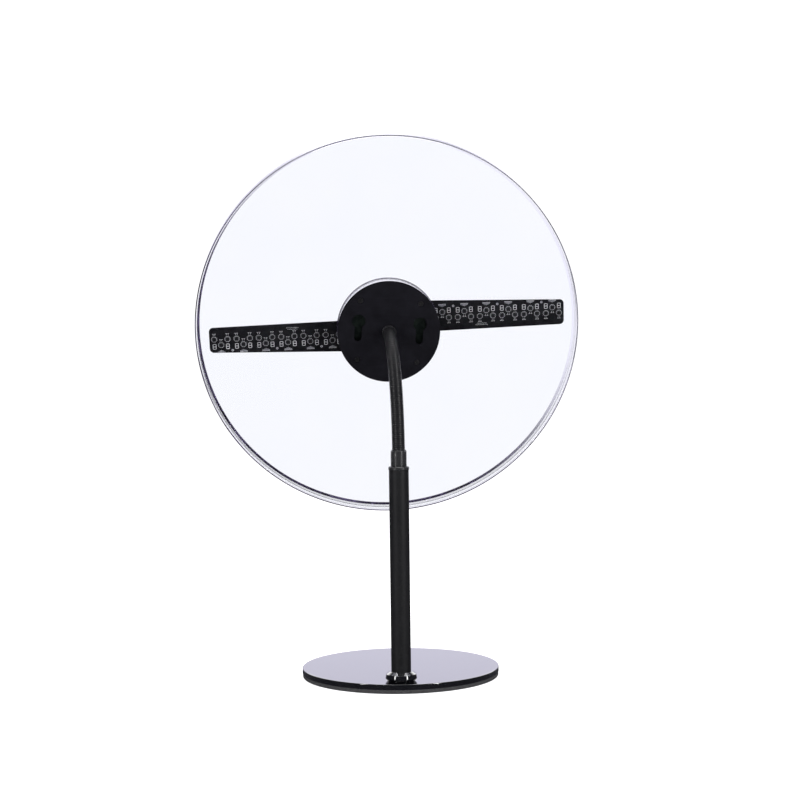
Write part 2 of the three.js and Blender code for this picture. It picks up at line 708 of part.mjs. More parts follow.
/** Cap over the blades' roots, and the driver board under it. */
function addCap(rotor) {
  const rimRear = BLADE_DEPTH + BLADE_THICKNESS + GAP;
  const inside = CAP_FRONT - CAP_WALL;
  let cap = turned([
    [0, inside],
    [CAP_RADIUS - CAP_WALL - 0.6, inside],
    [CAP_RADIUS - CAP_WALL, inside - 0.6],
    [CAP_RADIUS - CAP_WALL, rimRear],
    [CAP_RADIUS, rimRear],
    [CAP_RADIUS, inside],
    [CAP_RADIUS - CAP_WALL, CAP_FRONT],
    [0, CAP_FRONT],
  ].map(([radius, depth]) => [radius, -depth]), 32);
  let board = depthRing(3, CAP_RADIUS - 2.4, rimRear, rimRear + 1.2, 32);
  for (const side of [1, -1]) {
    for (const [x, z] of CAP_SCREWS) {
      cap = cap.subtract(rod(2.2, -CAP_FRONT - 1, -CAP_SEAT + GAP, side * x, side * z))
        .subtract(rod(1.3, -CAP_FRONT - 1, -30, side * x, side * z, 8));
      board = board.subtract(rod(1.4, -40, -30, side * x, side * z, 8));
    }
  }
  piece(rotor, 'rotor_cap', cap, matteBlack);
  piece(rotor, 'driver_board', board, boardGreen);
}

/** Disc behind the blades that carries them on the motor's cup. */
function addCarrier(rotor) {
  const front = BLADE_DEPTH - GAP;
  let carrier = turned([
    [CUP_RADIUS + GAP, CARRIER_REAR],
    [CARRIER_RADIUS - 2, CARRIER_REAR],
    [CARRIER_RADIUS, CARRIER_REAR + 2],
    [CARRIER_RADIUS, front],
    [SHAFT_RADIUS + GAP, front],
    [SHAFT_RADIUS + GAP, CUP_FRONT + 0.4],
    [CUP_RADIUS + GAP, CUP_FRONT + 0.4],
  ].map(([radius, depth]) => [radius, -depth]), 32);
  for (const side of [1, -1]) {
    for (const [x, z] of CAP_SCREWS) {
      carrier = carrier.subtract(rod(1.3, -BLADE_DEPTH - 1, -28, side * x, side * z, 8));
    }
  }
  piece(rotor, 'blade_carrier', carrier, matteBlack);
}

/** Shaft, motor cup with its magnet, and the coil that takes up power. */
function addRotorCore(rotor) {
  const shaftRear = 12.5;
  const bore = SHAFT_RADIUS + GAP;
  piece(rotor, 'motor_shaft', rod(SHAFT_RADIUS, -34.5, -shaftRear), steel);
  piece(rotor, 'shaft_clip', depthRing(bore, 4, shaftRear - 0.4, shaftRear + 0.2, 20), steel);
  const cup = depthRing(CUP_RADIUS - 1.4, CUP_RADIUS, STATOR_REAR, CUP_FRONT, 32)
    .add(depthRing(bore, CUP_RADIUS, CUP_FRONT - 1.2, CUP_FRONT, 32));
  piece(rotor, 'rotor_cup', cup, darkSteel);
  const magnet = depthRing(16.4, CUP_RADIUS - 1.4 - GAP, STATOR_REAR + 0.2, CUP_FRONT - 1.8, 32);
  piece(rotor, 'magnet_ring', magnet, ferrite);
  const coilFront = CARRIER_REAR - 0.4;
  const coil = depthRing(COIL_INNER, COIL_OUTER, coilFront - COIL_THICKNESS, coilFront, 32);
  piece(rotor, 'power_coil_turning', coil, copper);
}

function addRotor(head) {
  const rotor = new THREE.Group();
  rotor.rotation.y = ROTOR_TILT;
  head.add(rotor);
  addRotorCore(rotor);
  addCarrier(rotor);
  addBlades(rotor);
  addCap(rotor);
}

// ---------------------------------------------------------------- assembly

function addHead(parent) {
  const head = new THREE.Group();
  head.position.copy(HUB_CENTRE);
  head.rotation.set(HUB_PITCH, 0, HUB_YAW, 'ZXY');
  parent.add(head);
  const shell = new THREE.Group();
  shell.rotation.y = HUB_ROLL;
  head.add(shell);
  addHubPlate(shell);
  addTray(shell);
  addHubConnector(shell);
  addRearCover(shell);
  addFrontCover(shell);
  addMotor(head);
  addRotor(head);
  return head;
}

const display = new THREE.Group();
addBase(display);
addPole(display);
const head = addHead(display);
const hubRearward = new THREE.Vector3(0, 1, 0).applyEuler(head.rotation);
addNeck(display, hubRearward);

export default display;
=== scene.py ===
"""Looks of the hologram fan display: a clear round cover, a two-blade LED rotor and a gooseneck desk stand.

Metres, +Z up, the display faces -Y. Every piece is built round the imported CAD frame.
"""

import bisect
import json
import math

import bmesh
import bpy
from mathutils import Matrix, Vector


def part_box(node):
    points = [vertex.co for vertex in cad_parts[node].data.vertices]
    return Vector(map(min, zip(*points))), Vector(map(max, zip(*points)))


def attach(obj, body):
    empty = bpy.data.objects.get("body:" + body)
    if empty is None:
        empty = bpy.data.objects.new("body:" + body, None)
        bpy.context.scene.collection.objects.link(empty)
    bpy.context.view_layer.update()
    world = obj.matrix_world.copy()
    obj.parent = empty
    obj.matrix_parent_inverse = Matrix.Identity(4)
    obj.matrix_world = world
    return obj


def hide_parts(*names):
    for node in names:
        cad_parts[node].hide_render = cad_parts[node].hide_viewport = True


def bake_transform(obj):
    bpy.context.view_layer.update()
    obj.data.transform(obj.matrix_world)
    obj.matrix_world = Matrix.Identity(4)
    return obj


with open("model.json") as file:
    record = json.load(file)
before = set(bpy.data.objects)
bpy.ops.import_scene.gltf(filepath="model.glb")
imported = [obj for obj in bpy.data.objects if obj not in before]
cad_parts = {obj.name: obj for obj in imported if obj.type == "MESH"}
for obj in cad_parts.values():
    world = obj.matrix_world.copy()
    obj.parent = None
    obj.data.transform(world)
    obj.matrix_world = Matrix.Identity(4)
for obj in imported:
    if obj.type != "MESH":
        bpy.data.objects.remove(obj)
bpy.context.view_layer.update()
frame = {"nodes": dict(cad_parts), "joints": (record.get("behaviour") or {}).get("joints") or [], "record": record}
MM = 0.001

# ------------ places, from the frame

joints = {joint["name"]: joint for joint in frame["joints"]}
HUB = Vector(joints["rotor_spin"]["pos_m"])  # centre of the hub's rear face
REARWARD = Vector(joints["rotor_spin"]["axis"]).normalized()
SIDE = REARWARD.cross(Vector((0, 0, 1))).normalized()
UPWARD = SIDE.cross(REARWARD)
HEAD = Matrix((
    (SIDE.x, REARWARD.x, UPWARD.x, HUB.x),
    (SIDE.y, REARWARD.y, UPWARD.y, HUB.y),
    (SIDE.z, REARWARD.z, UPWARD.z, HUB.z),
    (0, 0, 0, 1),
))
HUB_ROLL = math.radians(-3.5)  # of the hub and cover about the rotor's axis
ROTOR_ROLL = math.radians(1.9)  # of the blades, where the rotor stopped
HUB_FRAME = HEAD @ Matrix.Rotation(HUB_ROLL, 4, "Y")
ROTOR_FRAME = HEAD @ Matrix.Rotation(ROTOR_ROLL, 4, "Y")
TURNED = Matrix.Rotation(math.radians(-90), 4, "X")  # local Z to rearward
FLAT = Matrix.Rotation(math.radians(90), 4, "X")  # local Y to up, local Z to forward


def local_corners(node_name, place):
    """Corners of a CAD node, measured in a place of the row frame."""
    node = frame["nodes"][node_name]
    to_place = place.inverted() @ node.matrix_world
    return [to_place @ vertex.co for vertex in node.data.vertices]


def ring_size(node_name):
    """Inner radius, outer radius, rear depth and front depth of a CAD ring about the rotor's axis."""
    corners = local_corners(node_name, HUB_FRAME @ FLAT)
    radii = [math.hypot(corner.x, corner.y) for corner in corners]
    depths = [corner.z for corner in corners]
    return min(radii), max(radii), min(depths), max(depths)


COVER_BORE, COVER_RADIUS, COVER_SEAM, COVER_FRONT = ring_size("front_cover_rim")
COVER_REAR = ring_size("rear_cover")[2]
COVER_WALL = COVER_RADIUS - COVER_BORE
_, NECK_RADIUS, NECK_FOOT, _ = ring_size("rear_cover_neck")
NECK_BORE = ring_size("rear_cover_flange")[0]
_, HUB_RADIUS, _, HUB_PLATE = ring_size("hub_rear_plate")

plate_low, plate_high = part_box("base_plate")
pad_low, pad_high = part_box("base_pad")
tube_low, tube_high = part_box("pole_tube")
flange_low, flange_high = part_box("pole_flange")
collar_low, collar_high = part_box("pole_collar")
BASE_RADIUS = (plate_high.x - plate_low.x) / 2
POLE_RADIUS = (tube_high.x - tube_low.x) / 2
FLANGE_RADIUS = (flange_high.x - flange_low.x) / 2
COLLAR_RADIUS = (collar_high.x - collar_low.x) / 2
COLLAR_SEAT = tube_high.z + 0.1 * MM  # the collar rests on the tube's end
POLE_Y = (tube_high.y + tube_low.y) / 2
POLE_FRAME = Matrix.Translation((0, POLE_Y, 0))

HOSE_RADIUS = 7.4 * MM
HOSE_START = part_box("hose_link_0")[0].z
HOSE_SEAT = 3.5 * MM  # from the hub's rear face back to the hose's end
RISE_HANDLE = 90 * MM  # how strongly the hose's curve keeps to the pole's direction
HUB_HANDLE = 55 * MM  # and to the hub's
FIRST_PIVOT = 25 * MM  # from the hose's start to the neck's first joint, along the hose
PIVOT_SPACING = 24 * MM  # and from joint to joint
RIB_PITCH = 2.5 * MM
RIB_DEPTH = 0.32 * MM
LEAD_BORE = 2.6 * MM  # the way for the lead, through the fittings at the hose's ends

SCREW_CIRCLE = 49.5 * MM

blade_corners = local_corners("blade_1", ROTOR_FRAME @ FLAT)
BLADE_ROOT = min(corner.x for corner in blade_corners)
BLADE_TIP = max(corner.x for corner in blade_corners)
BLADE_REAR = min(corner.z for corner in blade_corners)
BLADE_FRONT = max(corner.z for corner in blade_corners)


# ------------ camera, floor and light

def add_camera():
    """Camera behind the display, a little above the base, turned and rolled as the picture is."""
    away, azimuth, height = 1.99898, math.radians(0.39), 0.38854
    pan, tilt, roll = math.radians(-0.09), math.radians(-1.74), math.radians(0.70)
    forward = Vector((-math.sin(azimuth), -math.cos(azimuth), 0))
    forward.rotate(Matrix.Rotation(pan, 3, "Z"))
    right = forward.cross(Vector((0, 0, 1))).normalized()
    forward.rotate(Matrix.Rotation(tilt, 3, right))
    up = right.cross(forward)
    turn = Matrix.Rotation(roll, 3, forward)
    right.rotate(turn)
    up.rotate(turn)
    data = bpy.data.cameras.new("camera")
    data.sensor_width = 36
    data.lens = 75.67
    camera = bpy.data.objects.new("camera", data)
    place = Matrix((right, up, -forward)).transposed().to_4x4()
    place.translation = (away * math.sin(azimuth), away * math.cos(azimuth), height)
    camera.matrix_world = place
    bpy.context.scene.collection.objects.link(camera)
    bpy.context.scene.camera = camera


def add_floor():
    """Plain white floor that glows a little, as a lit table does. The cover and the gloss don't see it."""
    reach = 6
    clearance = 0.3 * MM
    mesh = bpy.data.meshes.new("floor")
    corners = [(-reach, -reach, 0), (reach, -reach, 0), (reach, reach, 0), (-reach, reach, 0)]
    mesh.from_pydata(corners, [], [(0, 1, 2, 3)])
    floor = bpy.data.objects.new("floor", mesh)
    floor.location.z = -clearance
    mesh.materials.append(new_material(
        "floor", (0.9, 0.9, 0.9), 0.9,
        Specular_IOR_Level=0, Emission_Color=(1, 1, 1, 1), Emission_Strength=0.55,
    ))
    bpy.context.scene.collection.objects.link(floor)
    floor.visible_glossy = False
    floor.visible_transmission = False


def map_range(tree, source, low, high, start, end, shape="LINEAR"):
    """A value that goes from start to end while the source goes from low to high."""
    step = tree.nodes.new("ShaderNodeMapRange")
    step.interpolation_type = shape
    for name, value in (("From Min", low), ("From Max", high), ("To Min", start), ("To Max", end)):
        step.inputs[name].default_value = value
    tree.links.new(source, step.inputs["Value"])
    return step.outputs["Result"]


def smooth_step(tree, source, low, high, start=0.0, end=1.0):
    """The same with a soft start and end."""
    return map_range(tree, source, low, high, start, end, "SMOOTHSTEP")


def arithmetic(tree, operation, first, second=None):
    """Result of one operation on one or two sockets."""
    node = tree.nodes.new("ShaderNodeMath")
    node.operation = operation
    tree.links.new(first, node.inputs[0])
    if second:
        tree.links.new(second, node.inputs[1])
    return node.outputs[0]


def mix_colors(tree, factor, first, second):
    """Blends two colours. Each is a socket or three numbers."""
    node = tree.nodes.new("ShaderNodeMix")
    node.data_type = "RGBA"
    node.clamp_result = False
    tree.links.new(factor, node.inputs["Factor"])
    for socket, color in ((node.inputs[6], first), (node.inputs[7], second)):
        if isinstance(color, tuple):
            socket.default_value = (*color, 1)
        else:
            tree.links.new(color, socket)
    return node.outputs[2]


def add_world():
    """Studio whose colour depends on the ray: white to the camera, flags and panels in reflections."""
    world = bpy.data.worlds.new("studio")
    bpy.context.scene.world = world
    world.use_nodes = True
    tree = world.node_tree
    split = tree.nodes.new("ShaderNodeSeparateXYZ")
    direction = tree.nodes.new("ShaderNodeTexCoord")
    tree.links.new(direction.outputs["Generated"], split.inputs[0])
    depth, height = split.outputs["Y"], split.outputs["Z"]
    ray = tree.nodes.new("ShaderNodeLightPath")
    refracted = ray.outputs["Is Transmission Ray"]

    # Through the acrylic: white ahead, behind and steeply down, grey elsewhere.
    across = smooth_step(tree, arithmetic(tree, "ABSOLUTE", depth), 0.3, 0.75)
    down = smooth_step(tree, height, -0.1, -0.4)
    through = arithmetic(tree, "MAXIMUM", across, down)
    seen_through = mix_colors(tree, through, (0.62, 0.60, 0.70), (0.995, 1.005, 1.037))

    # In reflections: black, with a pale backdrop in front of the display and a bright panel above it.
    narrow = smooth_step(tree, arithmetic(tree, "MULTIPLY", depth, depth), 0.5, 0.8)
    facing = smooth_step(tree, depth, -0.5, -0.7)
    above = smooth_step(tree, height, 0.02, 0.09)
    backdrop = arithmetic(tree, "MULTIPLY", arithmetic(tree, "MULTIPLY", narrow, facing), above)
    mirrored = mix_colors(tree, backdrop, (0.05, 0.05, 0.06), (0.94, 0.92, 1.10))
    high = smooth_step(tree, height, 0.26, 0.4)
    glow = arithmetic(tree, "MULTIPLY", high, smooth_step(tree, depth, -0.55, -0.8))
    mirrored = mix_colors(tree, glow, mirrored, (3.0, 3.0, 3.0))

    # Light guided by the acrylic, mirrored and then let out: white, but for the black behind the camera.
    away = smooth_step(tree, depth, 0.6, 0.3)
    guided = arithmetic(tree, "MULTIPLY", refracted, away)
    mirrored = mix_colors(tree, guided, mirrored, (0.98, 0.97, 1.06))

    color = mix_colors(tree, refracted, (0.75, 0.75, 0.78), seen_through)
    color = mix_colors(tree, ray.outputs["Glossy Depth"], color, mirrored)
    color = mix_colors(tree, ray.outputs["Is Camera Ray"], color, (1.12, 1.12, 1.12))
    tree.links.new(color, tree.nodes["Background"].inputs["Color"])


def add_softbox(name, place, aim, width, height, power):
    """A lamp with a flat rectangular face, turned towards the aim."""
    data = bpy.data.lights.new(name, "AREA")
    data.shape = "RECTANGLE"
    data.size = width
    data.size_y = height
    data.energy = power
    lamp = bpy.data.objects.new(name, data)
    lamp.location = place
    lamp.rotation_mode = "QUATERNION"
    lamp.rotation_quaternion = (Vector(aim) - Vector(place)).to_track_quat("-Z", "Y")
    bpy.context.scene.collection.objects.link(lamp)


def add_lights():
    """Two upright strips behind the display, for the edges of the pole, and a wide one overhead."""
    aim = (0, 0.09, 0.25)
    add_softbox("left_strip", (1.35, 1.35, 0.85), aim, 0.12, 1.3, 14)
    add_softbox("right_strip", (-1.25, 1.4, 0.85), aim, 0.12, 1.3, 18)
    add_softbox("overhead", (0, 0, 2.2), (0, 0, 0), 1.6, 1.6, 22)


# ------------ materials

def new_material(name, color, roughness, metallic=0.0, **sockets):
    """A Principled material. Further sockets are given by name, with _ for each space."""
    material = bpy.data.materials.new(name)
    material.use_nodes = True
    shader = material.node_tree.nodes["Principled BSDF"]
    shader.inputs["Base Color"].default_value = (*color, 1)
    shader.inputs["Roughness"].default_value = roughness
    shader.inputs["Metallic"].default_value = metallic
    for socket, value in sockets.items():
        shader.inputs[socket.replace("_", " ")].default_value = value
    return material


def noise(material, scale, detail=4.0, stretch=(1, 1, 1)):
    """Noise over the piece, in its own metres."""
    nodes, links = material.node_tree.nodes, material.node_tree.links
    where = nodes.new("ShaderNodeTexCoord")
    size = nodes.new("ShaderNodeMapping")
    size.inputs["Scale"].default_value = stretch
    links.new(where.outputs["Object"], size.inputs["Vector"])
    texture = nodes.new("ShaderNodeTexNoise")
    texture.inputs["Scale"].default_value = scale
    texture.inputs["Detail"].default_value = detail
    links.new(size.outputs["Vector"], texture.inputs["Vector"])
    return texture.outputs["Fac"]


def vary_roughness(material, source, low, high):
    """Roughness from low to high, by a noise."""
    tree = material.node_tree
    spread = map_range(tree, source, 0.3, 0.7, low, high)
    tree.links.new(spread, tree.nodes["Principled BSDF"].inputs["Roughness"])


def vary_color(material, source, dark, light, low=0.35, high=0.65):
    """Base colour from dark to light, while the noise goes from low to high."""
    nodes, links = material.node_tree.nodes, material.node_tree.links
    ramp = nodes.new("ShaderNodeValToRGB")
    ramp.color_ramp.elements[0].position = low
    ramp.color_ramp.elements[0].color = (*dark, 1)
    ramp.color_ramp.elements[1].position = high
    ramp.color_ramp.elements[1].color = (*light, 1)
    links.new(source, ramp.inputs["Fac"])
    links.new(ramp.outputs["Color"], nodes["Principled BSDF"].inputs["Base Color"])


def add_bump(material, source, height, strength=1.0):
    """Fine relief of that height, by a noise."""
    nodes, links = material.node_tree.nodes, material.node_tree.links
    bump = nodes.new("ShaderNodeBump")
    bump.inputs["Distance"].default_value = height
    bump.inputs["Strength"].default_value = strength
    links.new(source, bump.inputs["Height"])
    links.new(bump.outputs["Normal"], nodes["Principled BSDF"].inputs["Normal"])


def mix_clear(material, share, tint):
    """Lets that share of the light straight through, tinted."""
    nodes, links = material.node_tree.nodes, material.node_tree.links
    clear = nodes.new("ShaderNodeBsdfTransparent")
    clear.inputs["Color"].default_value = (*tint, 1)
    mix = nodes.new("ShaderNodeMixShader")
    links.new(share, mix.inputs["Fac"])
    links.new(nodes["Principled BSDF"].outputs["BSDF"], mix.inputs[1])
    links.new(clear.outputs["BSDF"], mix.inputs[2])
    links.new(mix.outputs["Shader"], nodes["Material Output"].inputs["Surface"])


def gloss_black():
    """Piano-black lacquer: a deep clear coat with faint polishing haze."""
    material = new_material(
        "gloss_black", (0.003, 0.003, 0.004), 0.06,
        Coat_Weight=1.0, Coat_Roughness=0.01, Coat_IOR=1.6, Specular_IOR_Level=0.5,
    )
    haze = noise(material, 60, 6)
    vary_roughness(material, haze, 0.04, 0.09)
    vary_color(material, haze, (0.002, 0.002, 0.003), (0.004, 0.004, 0.005))
    return material


def pad_grey():
    """Closed-cell rubber sheet, cut at the edge."""
    material = new_material("pad_grey", (0.03, 0.03, 0.032), 0.85, Specular_IOR_Level=0.2)
    grain = noise(material, 900, 3)
    vary_color(material, grain, (0.02, 0.02, 0.021), (0.05, 0.05, 0.052))
    add_bump(material, grain, 0.25 * MM, 0.6)
    return material


def satin_black():
    """Fine powder coat on steel tube."""
    material = new_material("satin_black", (0.006, 0.006, 0.007), 0.46, Specular_IOR_Level=0.25)
    orange_peel = noise(material, 1400, 2)
    vary_roughness(material, noise(material, 45, 5), 0.42, 0.54)
    vary_color(material, noise(material, 700, 4), (0.004, 0.004, 0.005), (0.008, 0.008, 0.009))
    add_bump(material, orange_peel, 0.06 * MM, 0.5)
    return material


def matte_black():
    """Moulded plastic with a spark-eroded grain."""
    material = new_material("matte_black", (0.005, 0.0048, 0.007), 0.7, Specular_IOR_Level=0.07)
    grain = noise(material, 1800, 2)
    vary_color(material, noise(material, 90, 5), (0.0034, 0.0032, 0.005), (0.0048, 0.0046, 0.007))
    vary_roughness(material, grain, 0.62, 0.8)
    add_bump(material, grain, 0.08 * MM, 0.6)
    return material


def hose_black():
    """Blackened strip that the hose is wound from, with a dull gloss."""
    material = new_material("hose_black", (0.006, 0.006, 0.007), 0.36, Specular_IOR_Level=0.32)
    vary_roughness(material, noise(material, 500, 4), 0.32, 0.4)
    vary_color(material, noise(material, 260, 5), (0.005, 0.005, 0.006), (0.008, 0.008, 0.009))
    return material


def dark_steel():
    """Blackened turned steel with fine tool marks."""
    material = new_material("dark_steel", (0.016, 0.016, 0.018), 0.3, Specular_IOR_Level=0.6)
    marks = noise(material, 900, 3, (1, 1, 12))
    vary_roughness(material, marks, 0.22, 0.34)
    vary_color(material, marks, (0.009, 0.009, 0.010), (0.018, 0.018, 0.020))
    add_bump(material, marks, 0.02 * MM, 0.4)
    return material


def bright_steel():
    """Plain steel with fine tool marks."""
    material = new_material("steel", (0.5, 0.5, 0.52), 0.3, 1.0)
    marks = noise(material, 1200, 3, (1, 14, 1))
    vary_roughness(material, marks, 0.22, 0.4)
    vary_color(material, marks, (0.42, 0.42, 0.44), (0.58, 0.58, 0.6))
    return material


def aluminium():
    """Turned aluminium with fine tool marks."""
    material = new_material("aluminium", (0.7, 0.7, 0.72), 0.35, 1.0)
    marks = noise(material, 1000, 3, (12, 1, 1))
    vary_roughness(material, marks, 0.28, 0.45)
    vary_color(material, marks, (0.62, 0.62, 0.64), (0.76, 0.76, 0.78))
    return material


def copper():
    """Enamelled copper wire."""
    material = new_material("copper", (0.55, 0.2, 0.08), 0.3, 0.9)
    strands = noise(material, 1500, 2, (1, 8, 1))
    vary_color(material, strands, (0.38, 0.13, 0.05), (0.66, 0.27, 0.11))
    add_bump(material, strands, 0.1 * MM)
    return material


def ferrite():
    """Dark sintered magnet."""
    material = new_material("ferrite", (0.06, 0.06, 0.065), 0.6, 0.3)
    vary_color(material, noise(material, 1500, 3), (0.045, 0.045, 0.05), (0.08, 0.08, 0.085))
    return material


def board(name, dark, light):
    """Printed circuit board: matt solder mask with the copper planes just showing under it."""
    material = new_material(name, dark, 0.6, Specular_IOR_Level=0.02)
    planes = noise(material, 170, 1)
    vary_color(material, planes, dark, light, 0.48, 0.52)
    vary_roughness(material, noise(material, 400, 3), 0.5, 0.7)
    add_bump(material, planes, 0.02 * MM, 0.3)
    return material


def clear_acrylic(name="clear_acrylic", color=(0.985, 0.988, 1.0)):
    """Polished acrylic with a faint blue cast. Lamps shine through it."""
    material = new_material(
        name, color, 0.0,
        Transmission_Weight=1.0, IOR=1.49, Specular_Tint=(0.25, 0.25, 0.25, 1),
    )
    paler = tuple(0.5 + 0.5 * channel for channel in color)
    vary_color(material, noise(material, 12, 3), color, paler)
    ray = material.node_tree.nodes.new("ShaderNodeLightPath")
    mix_clear(material, ray.outputs["Is Shadow Ray"], (0.93, 0.93, 0.95))
    return material


def cement(name, clearest):
    """Dark violet lines where the clear acrylic turns a corner or meets the neck: painted shade for the dark edges
    the acrylic shows there. They are most opaque towards +X and down, which is painted shade on that side, and
    clearest on the far side: clearest is how much of them is clear there.
    """
    shaded_way = Vector((0.6, 0, -0.8))
    middle = shaded_way.dot(HUB)
    fade = 0.13
    material = new_material(name, (0.03, 0.022, 0.05), 0.3, Specular_IOR_Level=0.1)
    vary_color(material, noise(material, 30, 5), (0.006, 0.004, 0.012), (0.05, 0.04, 0.08))
    tree = material.node_tree
    where = tree.nodes.new("ShaderNodeTexCoord")
    down = tree.nodes.new("ShaderNodeVectorMath")
    down.operation = "DOT_PRODUCT"
    down.inputs[1].default_value = shaded_way
    tree.links.new(where.outputs["Object"], down.inputs[0])
    # Painted shade: the lines grow darker and more opaque towards +X and down, and clearest on the far side.
    share = smooth_step(tree, down.outputs["Value"], middle - fade, middle + fade, clearest, 0.08)
    mix_clear(material, share, (0.96, 0.95, 0.99))
    return material


def solder():
    """Tinned pads and reflowed solder."""
    material = new_material("solder", (0.15, 0.15, 0.16), 0.5, Specular_IOR_Level=0.1)
    vary_color(material, noise(material, 2500, 2), (0.12, 0.12, 0.13), (0.32, 0.32, 0.34))
    return material


def ink():
    """White legend ink printed on the board."""
    material = new_material("ink", (0.13, 0.13, 0.13), 0.8, Specular_IOR_Level=0.05)
    vary_color(material, noise(material, 2500, 3), (0.22, 0.22, 0.225), (0.44, 0.44, 0.45))
    return material


def chip_black():
    """Moulded epoxy of a chip."""
    material = new_material("chip_black", (0.006, 0.006, 0.007), 0.6, Specular_IOR_Level=0.04)
    vary_color(material, noise(material, 3000, 2), (0.004, 0.004, 0.005), (0.009, 0.009, 0.010))
    return material


def led_white():
    """White moulded cup of an LED."""
    material = new_material("led_white", (0.75, 0.74, 0.7), 0.35)
    vary_color(material, noise(material, 1800, 2), (0.62, 0.61, 0.57), (0.82, 0.81, 0.77))
    return material


def led_lens():
    """Clear silicone over the three light-emitting dice."""
    material = new_material("led_lens", (0.55, 0.5, 0.3), 0.15, Coat_Weight=0.6)
    vary_color(material, noise(material, 2600, 2), (0.4, 0.36, 0.2), (0.7, 0.64, 0.42))
    return material


MATERIALS = {make.__name__: make() for make in (
    gloss_black, pad_grey, satin_black, matte_black, hose_black, dark_steel, clear_acrylic, led_white,
    aluminium, copper, ferrite, solder, ink, chip_black, led_lens,
)}
MATERIALS.update(
    tinted_acrylic=clear_acrylic("tinted_acrylic", (0.93, 0.92, 0.985)),
    # Painted shade: dark lines at the cover's corners, standing in for the dark edges of the clear acrylic.
    outer_cement=cement("outer_cement", 0.5),
    inner_cement=cement("inner_cement", 1.0),
    board_black=board("board_black", (0.005, 0.005, 0.006), (0.007, 0.007, 0.008)),
    board_green=board("board_green", (0.006, 0.009, 0.008), (0.010, 0.014, 0.012)),
    steel=bright_steel(),
    lead_black=matte_black(),
)


# ------------ piece building

def finish_piece(mesh, body, material, replaced=(), sharp=35):
    """Turns a mesh in the row frame into a piece of the same name that rides on a body."""
    mesh.shade_smooth()
    mesh.set_sharp_from_angle(angle=math.radians(sharp))
    mesh.materials.clear()
    mesh.materials.append(MATERIALS[material])
    piece = bpy.data.objects.new(mesh.name, mesh)
    bpy.context.scene.collection.objects.link(piece)
    if body:
        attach(piece, body)
    if replaced:
        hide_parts(*replaced)
    return piece


FLAT_MARGIN = 0.05 * MM  # keeps the shading of a flat wall flat up to its fillet


def rounded(outline, steps=5):
    """Replaces each corner that has a fillet radius, its third number, by an arc."""
    points = []
    count = len(outline)
    for index, corner in enumerate(outline):
        here = Vector(corner[:2])
        fillet = corner[2] if len(corner) > 2 else 0
        if not fillet:
            points.append(here)
            continue
        before = (Vector(outline[index - 1][:2]) - here).normalized()
        after = (Vector(outline[(index + 1) % count][:2]) - here).normalized()
        half = before.angle(after) / 2
        reach = fillet / math.tan(half)
        centre = here + (before + after).normalized() * fillet / math.sin(half)
        start = here + before * reach - centre
        turn = -(math.pi - 2 * half) * (1 if before.cross(after) > 0 else -1)
        points.append(here + before * (reach + FLAT_MARGIN))
        for step in range(steps + 1):
            angle = turn * step / steps
            points.append(centre + Matrix.Rotation(angle, 2) @ start)
        points.append(here + after * (reach + FLAT_MARGIN))
    return points


def join_rings(work, pairs):
    """Faces between neighbouring rings of points. On the axis a ring is one point many times over."""
    for below, above in pairs:
        count = len(below)
        for index in range(count):
            following = (index + 1) % count
            corners = (below[index], below[following], above[following], above[index])
            unique = list(dict.fromkeys(corners))
            if len(unique) > 2:
                work.faces.new(unique)


def lathe(name, outline, place, segments=96):
    """Mesh of a closed (radius, height[, fillet]) outline turned about local Z."""
    points = rounded(outline)
    work = bmesh.new()
    rings = []
    for point in points:
        if point.x < 1e-7:
            rings.append([work.verts.new((0, 0, point.y))] * segments)
            continue
        ring = []
        for segment in range(segments):
            angle = 2 * math.pi * segment / segments
            ring.append(work.verts.new((point.x * math.cos(angle), point.x * math.sin(angle), point.y)))
        rings.append(ring)
    join_rings(work, zip(rings, rings[1:] + rings[:1]))
    return to_mesh(name, work, place)


def to_mesh(name, work, place):
    """Mesh of the worked shape, moved to its place, with its faces turned outwards."""
    bmesh.ops.recalc_face_normals(work, faces=work.faces)
    work.transform(place)
    mesh = bpy.data.meshes.new(name)
    work.to_mesh(mesh)
    work.free()
    return mesh


def depth_outline(outline):
    """An outline given by depths forward of the hub's rear face."""
    return [(point[0], -point[1], *point[2:]) for point in outline]


def circle_points(radius, x=0.0, y=0.0, count=48):
    """Outline of a round plate or hole."""
    return [
        (x + radius * math.cos(2 * math.pi * k / count), y + radius * math.sin(2 * math.pi * k / count))
        for k in range(count)
    ]


def cut_plate(name, outlines, thickness, bevel, place):
    """Mesh of a flat plate from its outer outline and its holes, with bevelled edges."""
    curve = bpy.data.curves.new(name, "CURVE")
    curve.dimensions = "2D"
    curve.fill_mode = "BOTH"
    curve.extrude = thickness / 2 - bevel
    curve.bevel_depth = bevel
    curve.bevel_resolution = 2
    curve.offset = -bevel
    for outline in outlines:
        spline = curve.splines.new("POLY")
        spline.points.add(len(outline) - 1)
        for point, (x, y) in zip(spline.points, outline):
            point.co = (x, y, 0, 1)
        spline.use_cyclic_u = True
    helper = bpy.data.objects.new(name, curve)
    bpy.context.scene.collection.objects.link(helper)
    depsgraph = bpy.context.evaluated_depsgraph_get()
    mesh = bpy.data.meshes.new_from_object(helper.evaluated_get(depsgraph))
    bpy.data.objects.remove(helper)
    work = bmesh.new()
    work.from_mesh(mesh)
    bmesh.ops.remove_doubles(work, verts=work.verts, dist=1e-6)
    bpy.data.meshes.remove(mesh)
    return to_mesh(name, work, place)


def boxes(name, blocks, bevel, place):
    """Mesh of many bevelled blocks, each (x, y, width, height, low, high)."""
    work = bmesh.new()
    for x, y, width, height, low, high in blocks:
        made = bmesh.ops.create_cube(work, size=1)["verts"]
        bmesh.ops.scale(work, verts=made, vec=(width, height, high - low))
        bmesh.ops.translate(work, verts=made, vec=(x, y, (low + high) / 2))
    if bevel:
        bmesh.ops.bevel(work, geom=work.edges[:], offset=bevel, segments=2, affect="EDGES", profile=0.5)
    return to_mesh(name, work, place)


# ------------ stand

